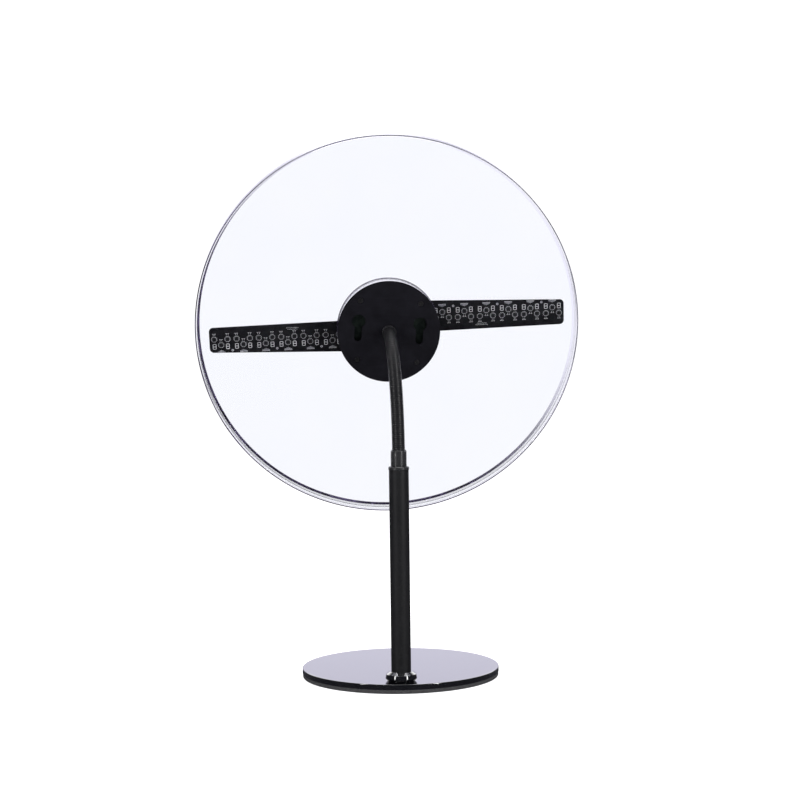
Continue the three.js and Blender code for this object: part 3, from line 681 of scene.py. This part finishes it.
def add_base():
    """Gloss slab with softened edges, on a pad that is open in the middle for the screw."""
    low, high = plate_low.z, plate_high.z
    slab = lathe("base_slab", [
        (0, low), (BASE_RADIUS, low, 0.6 * MM), (BASE_RADIUS, high, 0.9 * MM), (0, high),
    ], Matrix(), 256)
    finish_piece(slab, "stand", "gloss_black", ["base_plate"])
    radius = (pad_high.x - pad_low.x) / 2
    hole = 11 * MM
    pad = lathe("base_underlay", [
        (hole, 0), (radius, 0, 0.8 * MM), (radius, low, 0.3 * MM), (hole, low),
    ], Matrix(), 256)
    finish_piece(pad, "stand", "pad_grey", ["base_pad"])


def add_flange():
    """Turned foot of the pole: a round edge, a leaning wall and a cone up to the tube."""
    foot = flange_low.z - 0.25 * MM
    inner = POLE_RADIUS - 0.1 * MM
    top = flange_high.z
    flange = lathe("foot_flange", [
        (inner, foot),
        (FLANGE_RADIUS - 2.6 * MM, foot),
        (FLANGE_RADIUS, foot + 3.4 * MM, 2.4 * MM),
        (FLANGE_RADIUS - 0.95 * MM, foot + 8.2 * MM, 0.3 * MM),
        (inner + 1.9 * MM, top, 0.3 * MM),
        (inner, top),
    ], POLE_FRAME, 128)
    finish_piece(flange, "stand", "gloss_black", ["pole_flange"])


def add_pole():
    """Steel tube with a chamfered ring at its top."""
    wall = 1.5 * MM
    low, high = tube_low.z, tube_high.z
    tube = lathe("pole", [
        (POLE_RADIUS - wall, low), (POLE_RADIUS, low, 0.2 * MM),
        (POLE_RADIUS, high, 0.3 * MM), (POLE_RADIUS - wall, high),
    ], POLE_FRAME, 96)
    finish_piece(tube, "stand", "satin_black", ["pole_tube"])
    bore = 8.75 * MM
    chamfer = 0.9 * MM
    collar = lathe("top_ring", [
        (bore, COLLAR_SEAT),
        (COLLAR_RADIUS, COLLAR_SEAT, 0.25 * MM),
        (COLLAR_RADIUS, collar_high.z - chamfer),
        (COLLAR_RADIUS - chamfer, collar_high.z),
        (bore, collar_high.z),
    ], POLE_FRAME, 96)
    finish_piece(collar, "stand", "dark_steel", ["pole_collar"])


def add_ferrule():
    """Fitting that sits in the ring at the pole's top and holds the hose."""
    ferrule_low, ferrule_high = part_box("neck_ferrule")
    shank = 7.3 * MM
    neck = (ferrule_high.x - ferrule_low.x) / 2
    body = neck + 0.5 * MM
    body_low = collar_high.z + 0.1 * MM
    socket = HOSE_RADIUS + 0.05 * MM
    ferrule = lathe("hose_ferrule", [
        (LEAD_BORE, ferrule_low.z),
        (shank, ferrule_low.z),
        (shank, COLLAR_SEAT),
        (neck, COLLAR_SEAT),
        (neck, body_low),
        (body, body_low, 0.2 * MM),
        (body, ferrule_high.z - 2.0 * MM, 0.5 * MM),
        (HOSE_RADIUS + 0.35 * MM, ferrule_high.z, 0.3 * MM),
        (socket, ferrule_high.z - 0.6 * MM),
        (socket, HOSE_START),
        (LEAD_BORE, HOSE_START),
    ], POLE_FRAME, 96)
    finish_piece(ferrule, "stand", "dark_steel", ["neck_ferrule"])


def add_pole_socket(name, node_name, shank, bore, back, bottom, fillet):
    """Round fitting in the pole's front, open at its face. Returns its place and how far out its face is."""
    low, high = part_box(node_name)
    place = Matrix.Translation((0, POLE_Y, (low.z + high.z) / 2)) @ FLAT
    face = POLE_Y - low.y
    radius = (high.x - low.x) / 2
    shoulder = POLE_RADIUS - 0.2 * MM
    mesh = lathe(name, [
        (0, back),
        (shank, back),
        (shank, shoulder),
        (radius, shoulder),
        (radius, face, fillet),
        (bore, face, fillet - 0.1 * MM),
        (bore, bottom),
        (0, bottom),
    ], place, 64)
    finish_piece(mesh, "stand", "matte_black", [node_name])
    return place, face


def add_controls():
    """Power inlet with its pin, and above it the button in its bezel."""
    place, face = add_pole_socket(
        "power_inlet", "dc_inlet", 4.1 * MM, 3.2 * MM, 4 * MM, 4.6 * MM, 0.5 * MM,
    )
    pin_radius = 1.0 * MM
    pin_foot = 4.3 * MM
    pin_top = face - 1.2 * MM
    pin = lathe("inlet_pin", [
        (0, pin_foot), (pin_radius, pin_foot), (pin_radius, pin_top, 0.5 * MM), (0, pin_top),
    ], place, 32)
    finish_piece(pin, "stand", "steel")
    place, _ = add_pole_socket(
        "button_bezel", "button_housing", 4.4 * MM, 3.5 * MM, 3.5 * MM, 4.4 * MM, 0.4 * MM,
    )
    button_low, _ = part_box("power_button")
    top = POLE_Y - button_low.y
    foot = 7 * MM
    radius = 3.15 * MM
    crown = lathe("button_cap", [
        (0, foot), (radius, foot), (radius, top - 0.1 * MM, 0.7 * MM),
        (1.6 * MM, top - 0.2 * MM, 0.4 * MM), (0, top - 0.45 * MM),
    ], place, 64)
    finish_piece(crown, "power_button", "satin_black", ["power_button"])


# ------------ gooseneck

def hose_line():
    """Points along the hose with their arc lengths: straight up, then over into the hub."""
    start = Vector((0, POLE_Y, HOSE_START))
    end = HUB + REARWARD * HOSE_SEAT
    rise = start + Vector((0, 0, RISE_HANDLE))
    reach = end + REARWARD * HUB_HANDLE
    points, arcs = [], []
    steps = 1600
    for step in range(steps + 1):
        t = step / steps
        point = (
            start * (1 - t) ** 3 + rise * 3 * t * (1 - t) ** 2
            + reach * 3 * t * t * (1 - t) + end * t ** 3
        )
        arcs.append(arcs[-1] + (point - points[-1]).length if points else 0.0)
        points.append(point)
    return points, arcs


def along(line, arc):
    """Point and direction at an arc length of the hose line."""
    points, arcs = line
    arc = min(max(arc, 0.0), arcs[-1])
    index = bisect.bisect_left(arcs, arc, 1, len(arcs) - 1)
    share = (arc - arcs[index - 1]) / (arcs[index] - arcs[index - 1])
    direction = (points[index] - points[index - 1]).normalized()
    return points[index - 1].lerp(points[index], share), direction


def rib_height(turns):
    """How far the wound strip stands in or out: round ridges with narrow grooves."""
    share = turns % 1.0
    return -RIB_DEPTH * abs(math.cos(math.pi * share)) ** 6


def hose_mesh(name, line, low, high, sides=40, per_rib=8):
    """The hose between two arc lengths, wound as one long helix."""
    work = bmesh.new()
    steps = max(8, round((high - low) / RIB_PITCH * per_rib))
    rings = []
    for step in range(steps + 1):
        arc = low + (high - low) * step / steps
        centre, direction = along(line, arc)
        across = Vector((1, 0, 0))
        across = (across - direction * across.dot(direction)).normalized()
        other = direction.cross(across)
        ring = []
        for side in range(sides):
            angle = 2 * math.pi * side / sides
            radius = HOSE_RADIUS + rib_height(arc / RIB_PITCH + side / sides)
            outward = across * math.cos(angle) + other * math.sin(angle)
            ring.append(work.verts.new(centre + outward * radius))
        rings.append(ring)
    join_rings(work, zip(rings, rings[1:]))
    for ring in (rings[0], rings[-1]):
        work.faces.new(ring)
    return to_mesh(name, work, Matrix())


def add_hose():
    """The hose in one stretch for each joint of the neck, from half a spacing before that joint to half a spacing
    after it, the first from the hose's start and the last to its end.
    """
    line = hose_line()
    length = line[1][-1]
    bodies = ["stand"] + [f"neck_link_{number}" for number in range(1, 6)] + ["head"]
    half = PIVOT_SPACING / 2
    last = len(bodies) - 2
    for number in range(last + 1):
        pivot = FIRST_PIVOT + number * PIVOT_SPACING
        low = 0.0 if number == 0 else pivot - half
        high = length if number == last else pivot + half
        mesh = hose_mesh(f"hose_{number + 1}", line, low, high)
        covered = [f"hose_link_{number}"] + (["hose_link_6"] if number == last else [])
        piece = finish_piece(mesh, None, "hose_black", covered, sharp=80)
        start, _ = along(line, pivot - half)
        end, _ = along(line, pivot + half)
        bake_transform(piece)


# ------------ hub

def keyhole_points(x):
    """Outline of a keyhole: a round hole with a slot down from it."""
    radius, half, drop = 7.9 * MM, 4.2 * MM, 19.5 * MM
    top = 10.75 * MM
    opening = math.asin(half / radius)
    points = []
    for step in range(41):
        angle = -math.pi / 2 + opening + (2 * math.pi - 2 * opening) * step / 40
        points.append((x + radius * math.cos(angle), top + radius * math.sin(angle)))
    for step in range(21):
        angle = math.pi + math.pi * step / 20
        points.append((x + half * math.cos(angle), top - drop + half * math.sin(angle)))
    return points


def diagonal_points(radius):
    """Four points on a circle, on its diagonals."""
    angles = [math.radians(degrees) for degrees in (45, 135, 225, 315)]
    return [(radius * math.cos(angle), radius * math.sin(angle)) for angle in angles]


def add_hub_plate():
    """Round back of the hub with two keyholes, a hole for the hose's fitting, and four screws."""
    fitting_hole, screw_hole = 5.1 * MM, 3.2 * MM
    keyhole_offset = 35.8 * MM
    outlines = [circle_points(HUB_RADIUS, count=192), circle_points(fitting_hole)]
    outlines += [keyhole_points(x) for x in (-keyhole_offset, keyhole_offset)]
    outlines += [circle_points(screw_hole, x, y, 32) for x, y in diagonal_points(SCREW_CIRCLE)]
    middle = Matrix.Translation((0, 0, HUB_PLATE / 2))
    mesh = cut_plate("hub_back", outlines, HUB_PLATE, 0.5 * MM, HUB_FRAME @ FLAT @ middle)
    finish_piece(mesh, "head", "matte_black", ["hub_rear_plate"])
    for number, (x, y) in enumerate(diagonal_points(SCREW_CIRCLE), 1):
        seat = HUB_FRAME @ FLAT @ Matrix.Translation((x, y, 0))
        mesh = screw_mesh(f"plate_screw_{number}", 3.0 * MM, 0.35 * MM, 12 * MM, seat)
        finish_piece(mesh, "head", "satin_black", [f"hub_screw_{number}"])


def screw_mesh(name, radius, face, length, place):
    """Pan-head screw with a cross recess, its head at local z = face and its shank forward."""
    steps = 24
    work = bmesh.new()
    recess = 0.62 * radius
    shank = 0.48 * radius
    head_depth = 1.5 * MM
    levels = [
        (0.0, face + 1.2 * MM),
        (recess * 0.35, face + 1.0 * MM),
        (recess, face + 0.25 * MM),
        (radius * 0.78, face + 0.05 * MM),
        (radius * 0.95, face + 0.3 * MM),
        (radius, face + 0.8 * MM),
        (radius, face + head_depth),
        (shank, face + head_depth),
        (shank, length),
        (0.0, length),
    ]
    recess_levels = (1, 2)
    rings = []
    for level, (reach, height) in enumerate(levels):
        if reach == 0.0:
            rings.append([work.verts.new((0, 0, height))] * steps)
            continue
        ring = []
        for step in range(steps):
            angle = 2 * math.pi * step / steps
            radial = reach
            if level in recess_levels:
                radial *= 0.35 + 0.65 * abs(math.cos(2 * angle)) ** 1.5
            ring.append(work.verts.new((radial * math.cos(angle), radial * math.sin(angle), height)))
        rings.append(ring)
    join_rings(work, zip(rings, rings[1:]))
    return to_mesh(name, work, place)


def add_connector():
    """Swivel nut at the middle of the hub that holds the hose, with a groove round it."""
    spigot = 5.0 * MM
    radius = 8.2 * MM
    groove = radius - 0.45 * MM
    socket = HOSE_RADIUS + 0.05 * MM
    nut = lathe("hose_nut", [
        (LEAD_BORE, -8.6 * MM),
        (spigot, -8.6 * MM),
        (spigot, 0.05 * MM),
        (radius, 0.05 * MM, 0.4 * MM),
        (radius, 4.6 * MM, 0.3 * MM),
        (groove, 4.9 * MM),
        (groove, 5.5 * MM),
        (radius, 5.8 * MM, 0.3 * MM),
        (radius, 10.6 * MM, 0.6 * MM),
        (HOSE_RADIUS + 0.5 * MM, 12 * MM, 0.3 * MM),
        (socket, 11.4 * MM),
        (socket, 3 * MM),
        (LEAD_BORE, 3 * MM),
    ], HEAD @ TURNED, 96)
    finish_piece(nut, "head", "dark_steel", ["hub_connector"])


# ------------ clear cover

EDGE_SHADE_WIDTH = 1.25 * MM  # of the painted-shade line along a corner
NECK_SHADE_WIDTH = 0.9 * MM  # of the painted-shade line round the neck
FRONT_SHADE_WIDTH = 2.6 * MM  # of the painted-shade line inside the front corner
FRONT_SHADE_HEIGHT = 2.2 * MM
JOINT_GAP = 0.05 * MM


def cover_ring(name, outline, material, covered=()):
    """A piece of the clear cover, turned about the hub's axis."""
    mesh = lathe(name, depth_outline(outline), HUB_FRAME @ TURNED, 256)
    finish_piece(mesh, "head", material, covered, sharp=50)


def add_rear_cover():
    """Disc and rim, with the clear neck that holds them to the hub plate."""
    step = COVER_REAR + COVER_WALL + JOINT_GAP
    disc_front = step + 0.8 * MM
    step_radius = COVER_RADIUS - EDGE_SHADE_WIDTH - JOINT_GAP
    disc_bore = NECK_RADIUS + EDGE_SHADE_WIDTH + JOINT_GAP
    seam = COVER_SEAM - 0.1 * MM - JOINT_GAP
    cover_ring("clear_rear", [
        (disc_bore, COVER_REAR),
        (step_radius, COVER_REAR),
        (step_radius, step),
        (COVER_RADIUS, step),
        (COVER_RADIUS, seam, 0.3 * MM),
        (COVER_BORE, seam),
        (COVER_BORE, disc_front, 0.5 * MM),
        (disc_bore, disc_front),
    ], "clear_acrylic", ["rear_cover", "rear_cover_rim"])
    neck_bore = NECK_RADIUS - COVER_WALL
    cover_ring("clear_neck", [
        (NECK_BORE, NECK_FOOT),
        (NECK_RADIUS, NECK_FOOT, 0.6 * MM),
        (NECK_RADIUS, disc_front),
        (neck_bore, disc_front),
        (neck_bore, NECK_FOOT + COVER_WALL, 0.5 * MM),
        (NECK_BORE, NECK_FOOT + COVER_WALL),
    ], "tinted_acrylic", ["rear_cover_neck", "rear_cover_flange"])


def add_front_cover():
    """One moulding: a disc with a rim that meets the rear rim at the seam."""
    inside = COVER_FRONT - COVER_WALL
    cover_ring("clear_front", [
        (0, COVER_FRONT),
        (COVER_RADIUS, COVER_FRONT, 0.6 * MM),
        (COVER_RADIUS, COVER_SEAM, 0.3 * MM),
        (COVER_BORE, COVER_SEAM),
        (COVER_BORE, inside),
        (0, inside),
    ], "clear_acrylic", ["front_cover", "front_cover_rim"])


def add_dark_edge_lines():
    """Dark lines at the cover's corners: painted shade for the dark edges of the clear acrylic."""
    inside = COVER_FRONT - COVER_WALL - JOINT_GAP
    bore = COVER_BORE - JOINT_GAP
    rear_span = (COVER_REAR, COVER_REAR + COVER_WALL)
    front_span = (inside - FRONT_SHADE_HEIGHT, inside)
    # Each line is painted shade for a dark edge of the acrylic, not a glued joint.
    for name, inner, outer, (rear, front), material in (
        ("rear_rim_shade_line", COVER_RADIUS - EDGE_SHADE_WIDTH, COVER_RADIUS, rear_span, "outer_cement"),
        ("neck_shade_line", NECK_RADIUS + JOINT_GAP, NECK_RADIUS + NECK_SHADE_WIDTH, rear_span, "outer_cement"),
        ("front_rim_shade_line", bore - FRONT_SHADE_WIDTH, bore, front_span, "inner_cement"),
    ):
        cover_ring(name, [
            (inner, rear, 0.3 * MM),
            (outer, rear, 0.3 * MM),
            (outer, front, 0.3 * MM),
            (inner, front, 0.3 * MM),
        ], material)


# ------------ blades

ARMS = [ROTOR_FRAME @ FLAT, ROTOR_FRAME @ Matrix.Rotation(math.pi, 4, "Y") @ FLAT]
CLAMP_REACH = 0.25 * MM  # how much of the CAD's gap to the blades the carrier and cap close
CHIP_PERIOD = 26.2 * MM
UPPER_ROW, LOWER_ROW, TWIN_ROW, EDGE_ROW = -7.2 * MM, -14.1 * MM, -15.9 * MM, -21.5 * MM
INK = 0.06 * MM  # thickness of the printed legend


def blade_points():
    """Outline of a blade: radius along X, across it along Y."""
    corner = 5 * MM

    def leading(radius):
        return 9.3 * MM - 0.012 * radius

    def trailing(radius):
        return -30.1 * MM + 0.033 * radius

    points = [(BLADE_ROOT, trailing(BLADE_ROOT))]
    low = Vector((BLADE_TIP - corner, trailing(BLADE_TIP) + corner))
    high = Vector((BLADE_TIP - corner, leading(BLADE_TIP) - corner))
    for centre, first in ((low, -90), (high, 0)):
        for step in range(9):
            angle = math.radians(first + 90 * step / 8)
            points.append((centre.x + corner * math.cos(angle), centre.y + corner * math.sin(angle)))
    points.append((BLADE_ROOT, leading(BLADE_ROOT)))
    return points


def chip_places():
    """Where the driver chips sit: pairs in the upper row, single ones between them below."""
    outermost, aside, innermost = 196.4 * MM, 7.8 * MM, 50 * MM
    upper, lower = [], []
    for number in range(7):
        lone = outermost - number * CHIP_PERIOD
        lower.append(lone)
        upper += [lone + aside, lone - aside]
    return [x for x in upper if x > innermost], [x for x in lower if x > innermost]


def rear_block(x, y, width, height, thickness):
    """A block on the blade's rear face."""
    return (x, y, width, height, BLADE_REAR - thickness, BLADE_REAR)


def outline_rings(name, centres, outer, inner, sides, low, high, place):
    """Mesh of many flat rings with straight sides."""
    work = bmesh.new()
    for x, y in centres:
        corners = []
        for side in range(sides):
            angle = 2 * math.pi * (side + 0.5) / sides
            across, along_side = math.cos(angle), math.sin(angle)
            corners.append([
                work.verts.new((x + radius * across, y + radius * along_side, height))
                for radius, height in ((inner, low), (outer, low), (outer, high), (inner, high))
            ])
        for side in range(sides):
            here, following = corners[side], corners[(side + 1) % sides]
            for edge in range(4):
                after = (edge + 1) % 4
                work.faces.new((here[edge], following[edge], following[after], here[after]))
    return to_mesh(name, work, place)


def chip_pads(x, y):
    """Tinned pads on the four sides of a chip."""
    pitch, reach = 0.9 * MM, 2.4 * MM
    width, length, thickness = 0.3 * MM, 0.5 * MM, 0.15 * MM
    blocks = []
    for step in (-1.5, -0.5, 0.5, 1.5):
        offset = step * pitch
        for sign in (-1, 1):
            blocks.append(rear_block(x + offset, y + sign * reach, width, length, thickness))
            blocks.append(rear_block(x + sign * reach, y + offset, length, width, thickness))
    return blocks


def chip_marks(x, y):
    """Printed marks above a chip."""
    marks = []
    for side in (-1, 1):
        marks.append(rear_block(x + side * 1.2 * MM, y + 6.5 * MM, 1.7 * MM, 0.55 * MM, INK))
        marks.append(rear_block(x + side * 1.0 * MM, y + 5.1 * MM, 0.5 * MM, 0.9 * MM, INK))
    return marks


def twin_parts(x):
    """Two small parts, one above the other."""
    offset = 1.55 * MM
    return [rear_block(x, TWIN_ROW + step * offset, 2.2 * MM, 1.5 * MM, 0.6 * MM) for step in (-1, 1)]


def edge_contacts(x):
    """Seven tinned strips at the trailing edge, longest in the middle."""
    low = EDGE_ROW - 1.6 * MM
    blocks = []
    for step in range(-3, 4):
        height = (3.0 - 0.5 * abs(step)) * MM
        blocks.append(rear_block(x + step * 1.3 * MM, low + height / 2, 0.65 * MM, height, 0.3 * MM))
    return blocks


def eight(x, y):
    """Printed frame round two small parts, one above the other."""
    width, height, line = 3.6 * MM, 5.8 * MM, 0.65 * MM
    blocks = [rear_block(x + side * width / 2, y, line, height, 0.08 * MM) for side in (-1, 1)]
    blocks += [
        rear_block(x, y + step * height / 2, width - line, line, 0.08 * MM) for step in (-1, 0, 1)
    ]
    return blocks


def legend_dashes(x, y, count):
    """A row of short printed bars that stands for a part label."""
    pitch = 1.5 * MM
    first = -(count - 1) / 2
    return [
        rear_block(x + (first + step) * pitch, y + (step % 2) * 0.25 * MM, 0.62 * MM, 0.7 * MM, 0.05 * MM)
        for step in range(count)
    ]


def add_blade(number, place):
    """Driver board with chips, small parts, tinned pads and printed legend on its rear."""
    thickness = BLADE_FRONT - BLADE_REAR
    middle = Matrix.Translation((0, 0, BLADE_REAR + thickness / 2))
    mesh = cut_plate(f"led_board_{number}", [blade_points()], thickness, 0.15 * MM, place @ middle)
    finish_piece(mesh, "rotor", "board_black", [f"blade_{number}"])

    upper, lower = chip_places()
    sites = [(x, UPPER_ROW) for x in upper] + [(x, LOWER_ROW) for x in lower]
    chip_side, chip_height = 4.2 * MM, 0.85 * MM
    chips, parts, pads, legend = [], [], [], []
    for x, y in sites:
        chips.append(rear_block(x, y, chip_side, chip_side, chip_height))
        pads += chip_pads(x, y)
        legend += chip_marks(x, y)
    for x in upper:
        parts += twin_parts(x)
        legend += eight(x, TWIN_ROW)
    for x in lower:
        pads += edge_contacts(x)
        legend.append(rear_block(x, EDGE_ROW - 1.9 * MM, 9.4 * MM, 0.35 * MM, INK))
    for y, count in ((3.0 * MM, 10), (1.2 * MM, 8)):
        legend += legend_dashes(112 * MM, y, count)
    for name, blocks, bevel, material, slot in (
        ("driver_chips", chips, 0.12 * MM, "chip_black", "matte_black"),
        ("small_parts", parts, 0.1 * MM, "chip_black", "matte_black"),
        ("tinned_pads", pads, 0, "solder", "steel"),
        ("legend", legend, 0, "ink", "led_white"),
    ):
        mesh = boxes(f"{name}_{number}", blocks, bevel, place)
        finish_piece(mesh, "rotor", material)

    surface = (BLADE_REAR - INK, BLADE_REAR)
    rings = outline_rings(f"chip_frames_{number}", sites, 3.6 * MM, 3.3 * MM, 8, *surface, place)
    finish_piece(rings, "rotor", "ink")
    holes = [(x - CHIP_PERIOD / 2, EDGE_ROW + 0.6 * MM) for x in lower[0:5:2]]
    rings = outline_rings(f"test_pads_{number}", holes, 1.4 * MM, 0.6 * MM, 16, *surface, place)
    finish_piece(rings, "rotor", "solder")


def front_block(x, y, width, height, low, high):
    """A block on the blade's front, from one height over its face to another."""
    return (x, y, width, height, BLADE_FRONT + low, BLADE_FRONT + high)


def add_leds(number, place):
    """Row of LEDs along the radius on the blade's front, white cups with clear lenses, and small parts."""
    first, last, pitch = 40.5 * MM, 207 * MM, 1.76 * MM
    count = int((last - first) / pitch)
    cups, lenses = [], []
    for step in range(count + 1):
        x = first + step * pitch
        cups.append(front_block(x, 0, 1.5 * MM, 1.6 * MM, 0, 0.75 * MM))
        lenses.append(front_block(x, 0, 1.05 * MM, 1.1 * MM, 0.5 * MM, 0.95 * MM))
    mesh = boxes(f"led_cups_{number}", cups, 0.1 * MM, place)
    finish_piece(mesh, "rotor", "led_white", [f"led_row_{number}"])
    mesh = boxes(f"led_lenses_{number}", lenses, 0.12 * MM, place)
    finish_piece(mesh, "rotor", "led_lens")
    resistors, ends = [], []
    for step in range(0, count - 2, 4):
        x = first + (step + 1.5) * pitch
        for y in (-4.2 * MM, -9.6 * MM):
            resistors.append(front_block(x, y, 1.2 * MM, 0.8 * MM, 0, 0.4 * MM))
            for side in (-1, 1):
                ends.append(front_block(x + side * 0.75 * MM, y, 0.4 * MM, 0.85 * MM, 0, 0.42 * MM))
    mesh = boxes(f"front_parts_{number}", resistors, 0.06 * MM, place)
    finish_piece(mesh, "rotor", "chip_black")
    mesh = boxes(f"front_pads_{number}", ends, 0, place)
    finish_piece(mesh, "rotor", "solder")


def add_carrier():
    """Disc behind the blades, hollow at the back for the rotor cup."""
    _, radius, rear, front = ring_size("blade_carrier")
    front += CLAMP_REACH
    shaft_bore, cup_bore, cup_seat = 2.3 * MM, 19.4 * MM, 30.4 * MM
    carrier = lathe("carrier_disc", depth_outline([
        (cup_bore, rear),
        (radius, rear, 2.5 * MM),
        (radius, front, 0.8 * MM),
        (shaft_bore, front),
        (shaft_bore, cup_seat),
        (cup_bore, cup_seat, 0.4 * MM),
    ]), ROTOR_FRAME @ TURNED, 160)
    finish_piece(carrier, "rotor", "matte_black", ["blade_carrier"])


def add_cap():
    """Cap in front of the blades, hollow at the back, with a turned groove in its face."""
    _, radius, rear, front = ring_size("rotor_cap")
    rear -= CLAMP_REACH
    hollow = radius - 1.8 * MM
    roof = front - 1.6 * MM
    groove_floor = front - 0.4 * MM
    cap = lathe("front_cap", depth_outline([
        (0, roof),
        (hollow, roof, 0.4 * MM),
        (hollow, rear),
        (radius, rear),
        (radius, front, 1.8 * MM),
        (33 * MM, front, 0.3 * MM),
        (32.6 * MM, groove_floor, 0.2 * MM),
        (31.8 * MM, groove_floor, 0.2 * MM),
        (31.4 * MM, front, 0.3 * MM),
        (0, front),
    ]), ROTOR_FRAME @ TURNED, 160)
    finish_piece(cap, "rotor", "matte_black", ["rotor_cap"])


def add_cap_screws():
    """Two screws through each blade's root, with their heads on the cap's face."""
    along_blade, across_blade = 24 * MM, (-4 * MM, -20 * MM)
    head, tip = -39.6 * MM, -29.5 * MM
    number = 0
    for arm in ARMS:
        for y in across_blade:
            number += 1
            seat = arm @ Matrix.Translation((along_blade, y, 0)) @ Matrix.Scale(-1, 4, (0, 0, 1))
            mesh = screw_mesh(f"front_screw_{number}", 1.9 * MM, head, tip, seat)
            mesh.flip_normals()
            finish_piece(mesh, "rotor", "steel", [f"cap_screw_{number}"])


def finish_cad_nodes():
    """Gives every CAD node that still shows the material of its slot."""
    slots = {part["node"]: part["material_slot"] for part in frame["record"]["subparts"]}
    for name, node in frame["nodes"].items():
        node.data.materials.clear()
        node.data.materials.append(MATERIALS[slots[name]])


add_camera()
add_floor()
add_world()
add_lights()
bpy.context.scene.view_settings.view_transform = "Standard"

finish_cad_nodes()
add_base()
add_flange()
add_pole()
add_ferrule()
add_controls()
add_hose()
add_hub_plate()
add_connector()
add_rear_cover()
add_front_cover()
add_dark_edge_lines()
for arm_number, arm_place in enumerate(ARMS, 1):
    add_blade(arm_number, arm_place)
    add_leds(arm_number, arm_place)
add_carrier()
add_cap()
add_cap_screws()
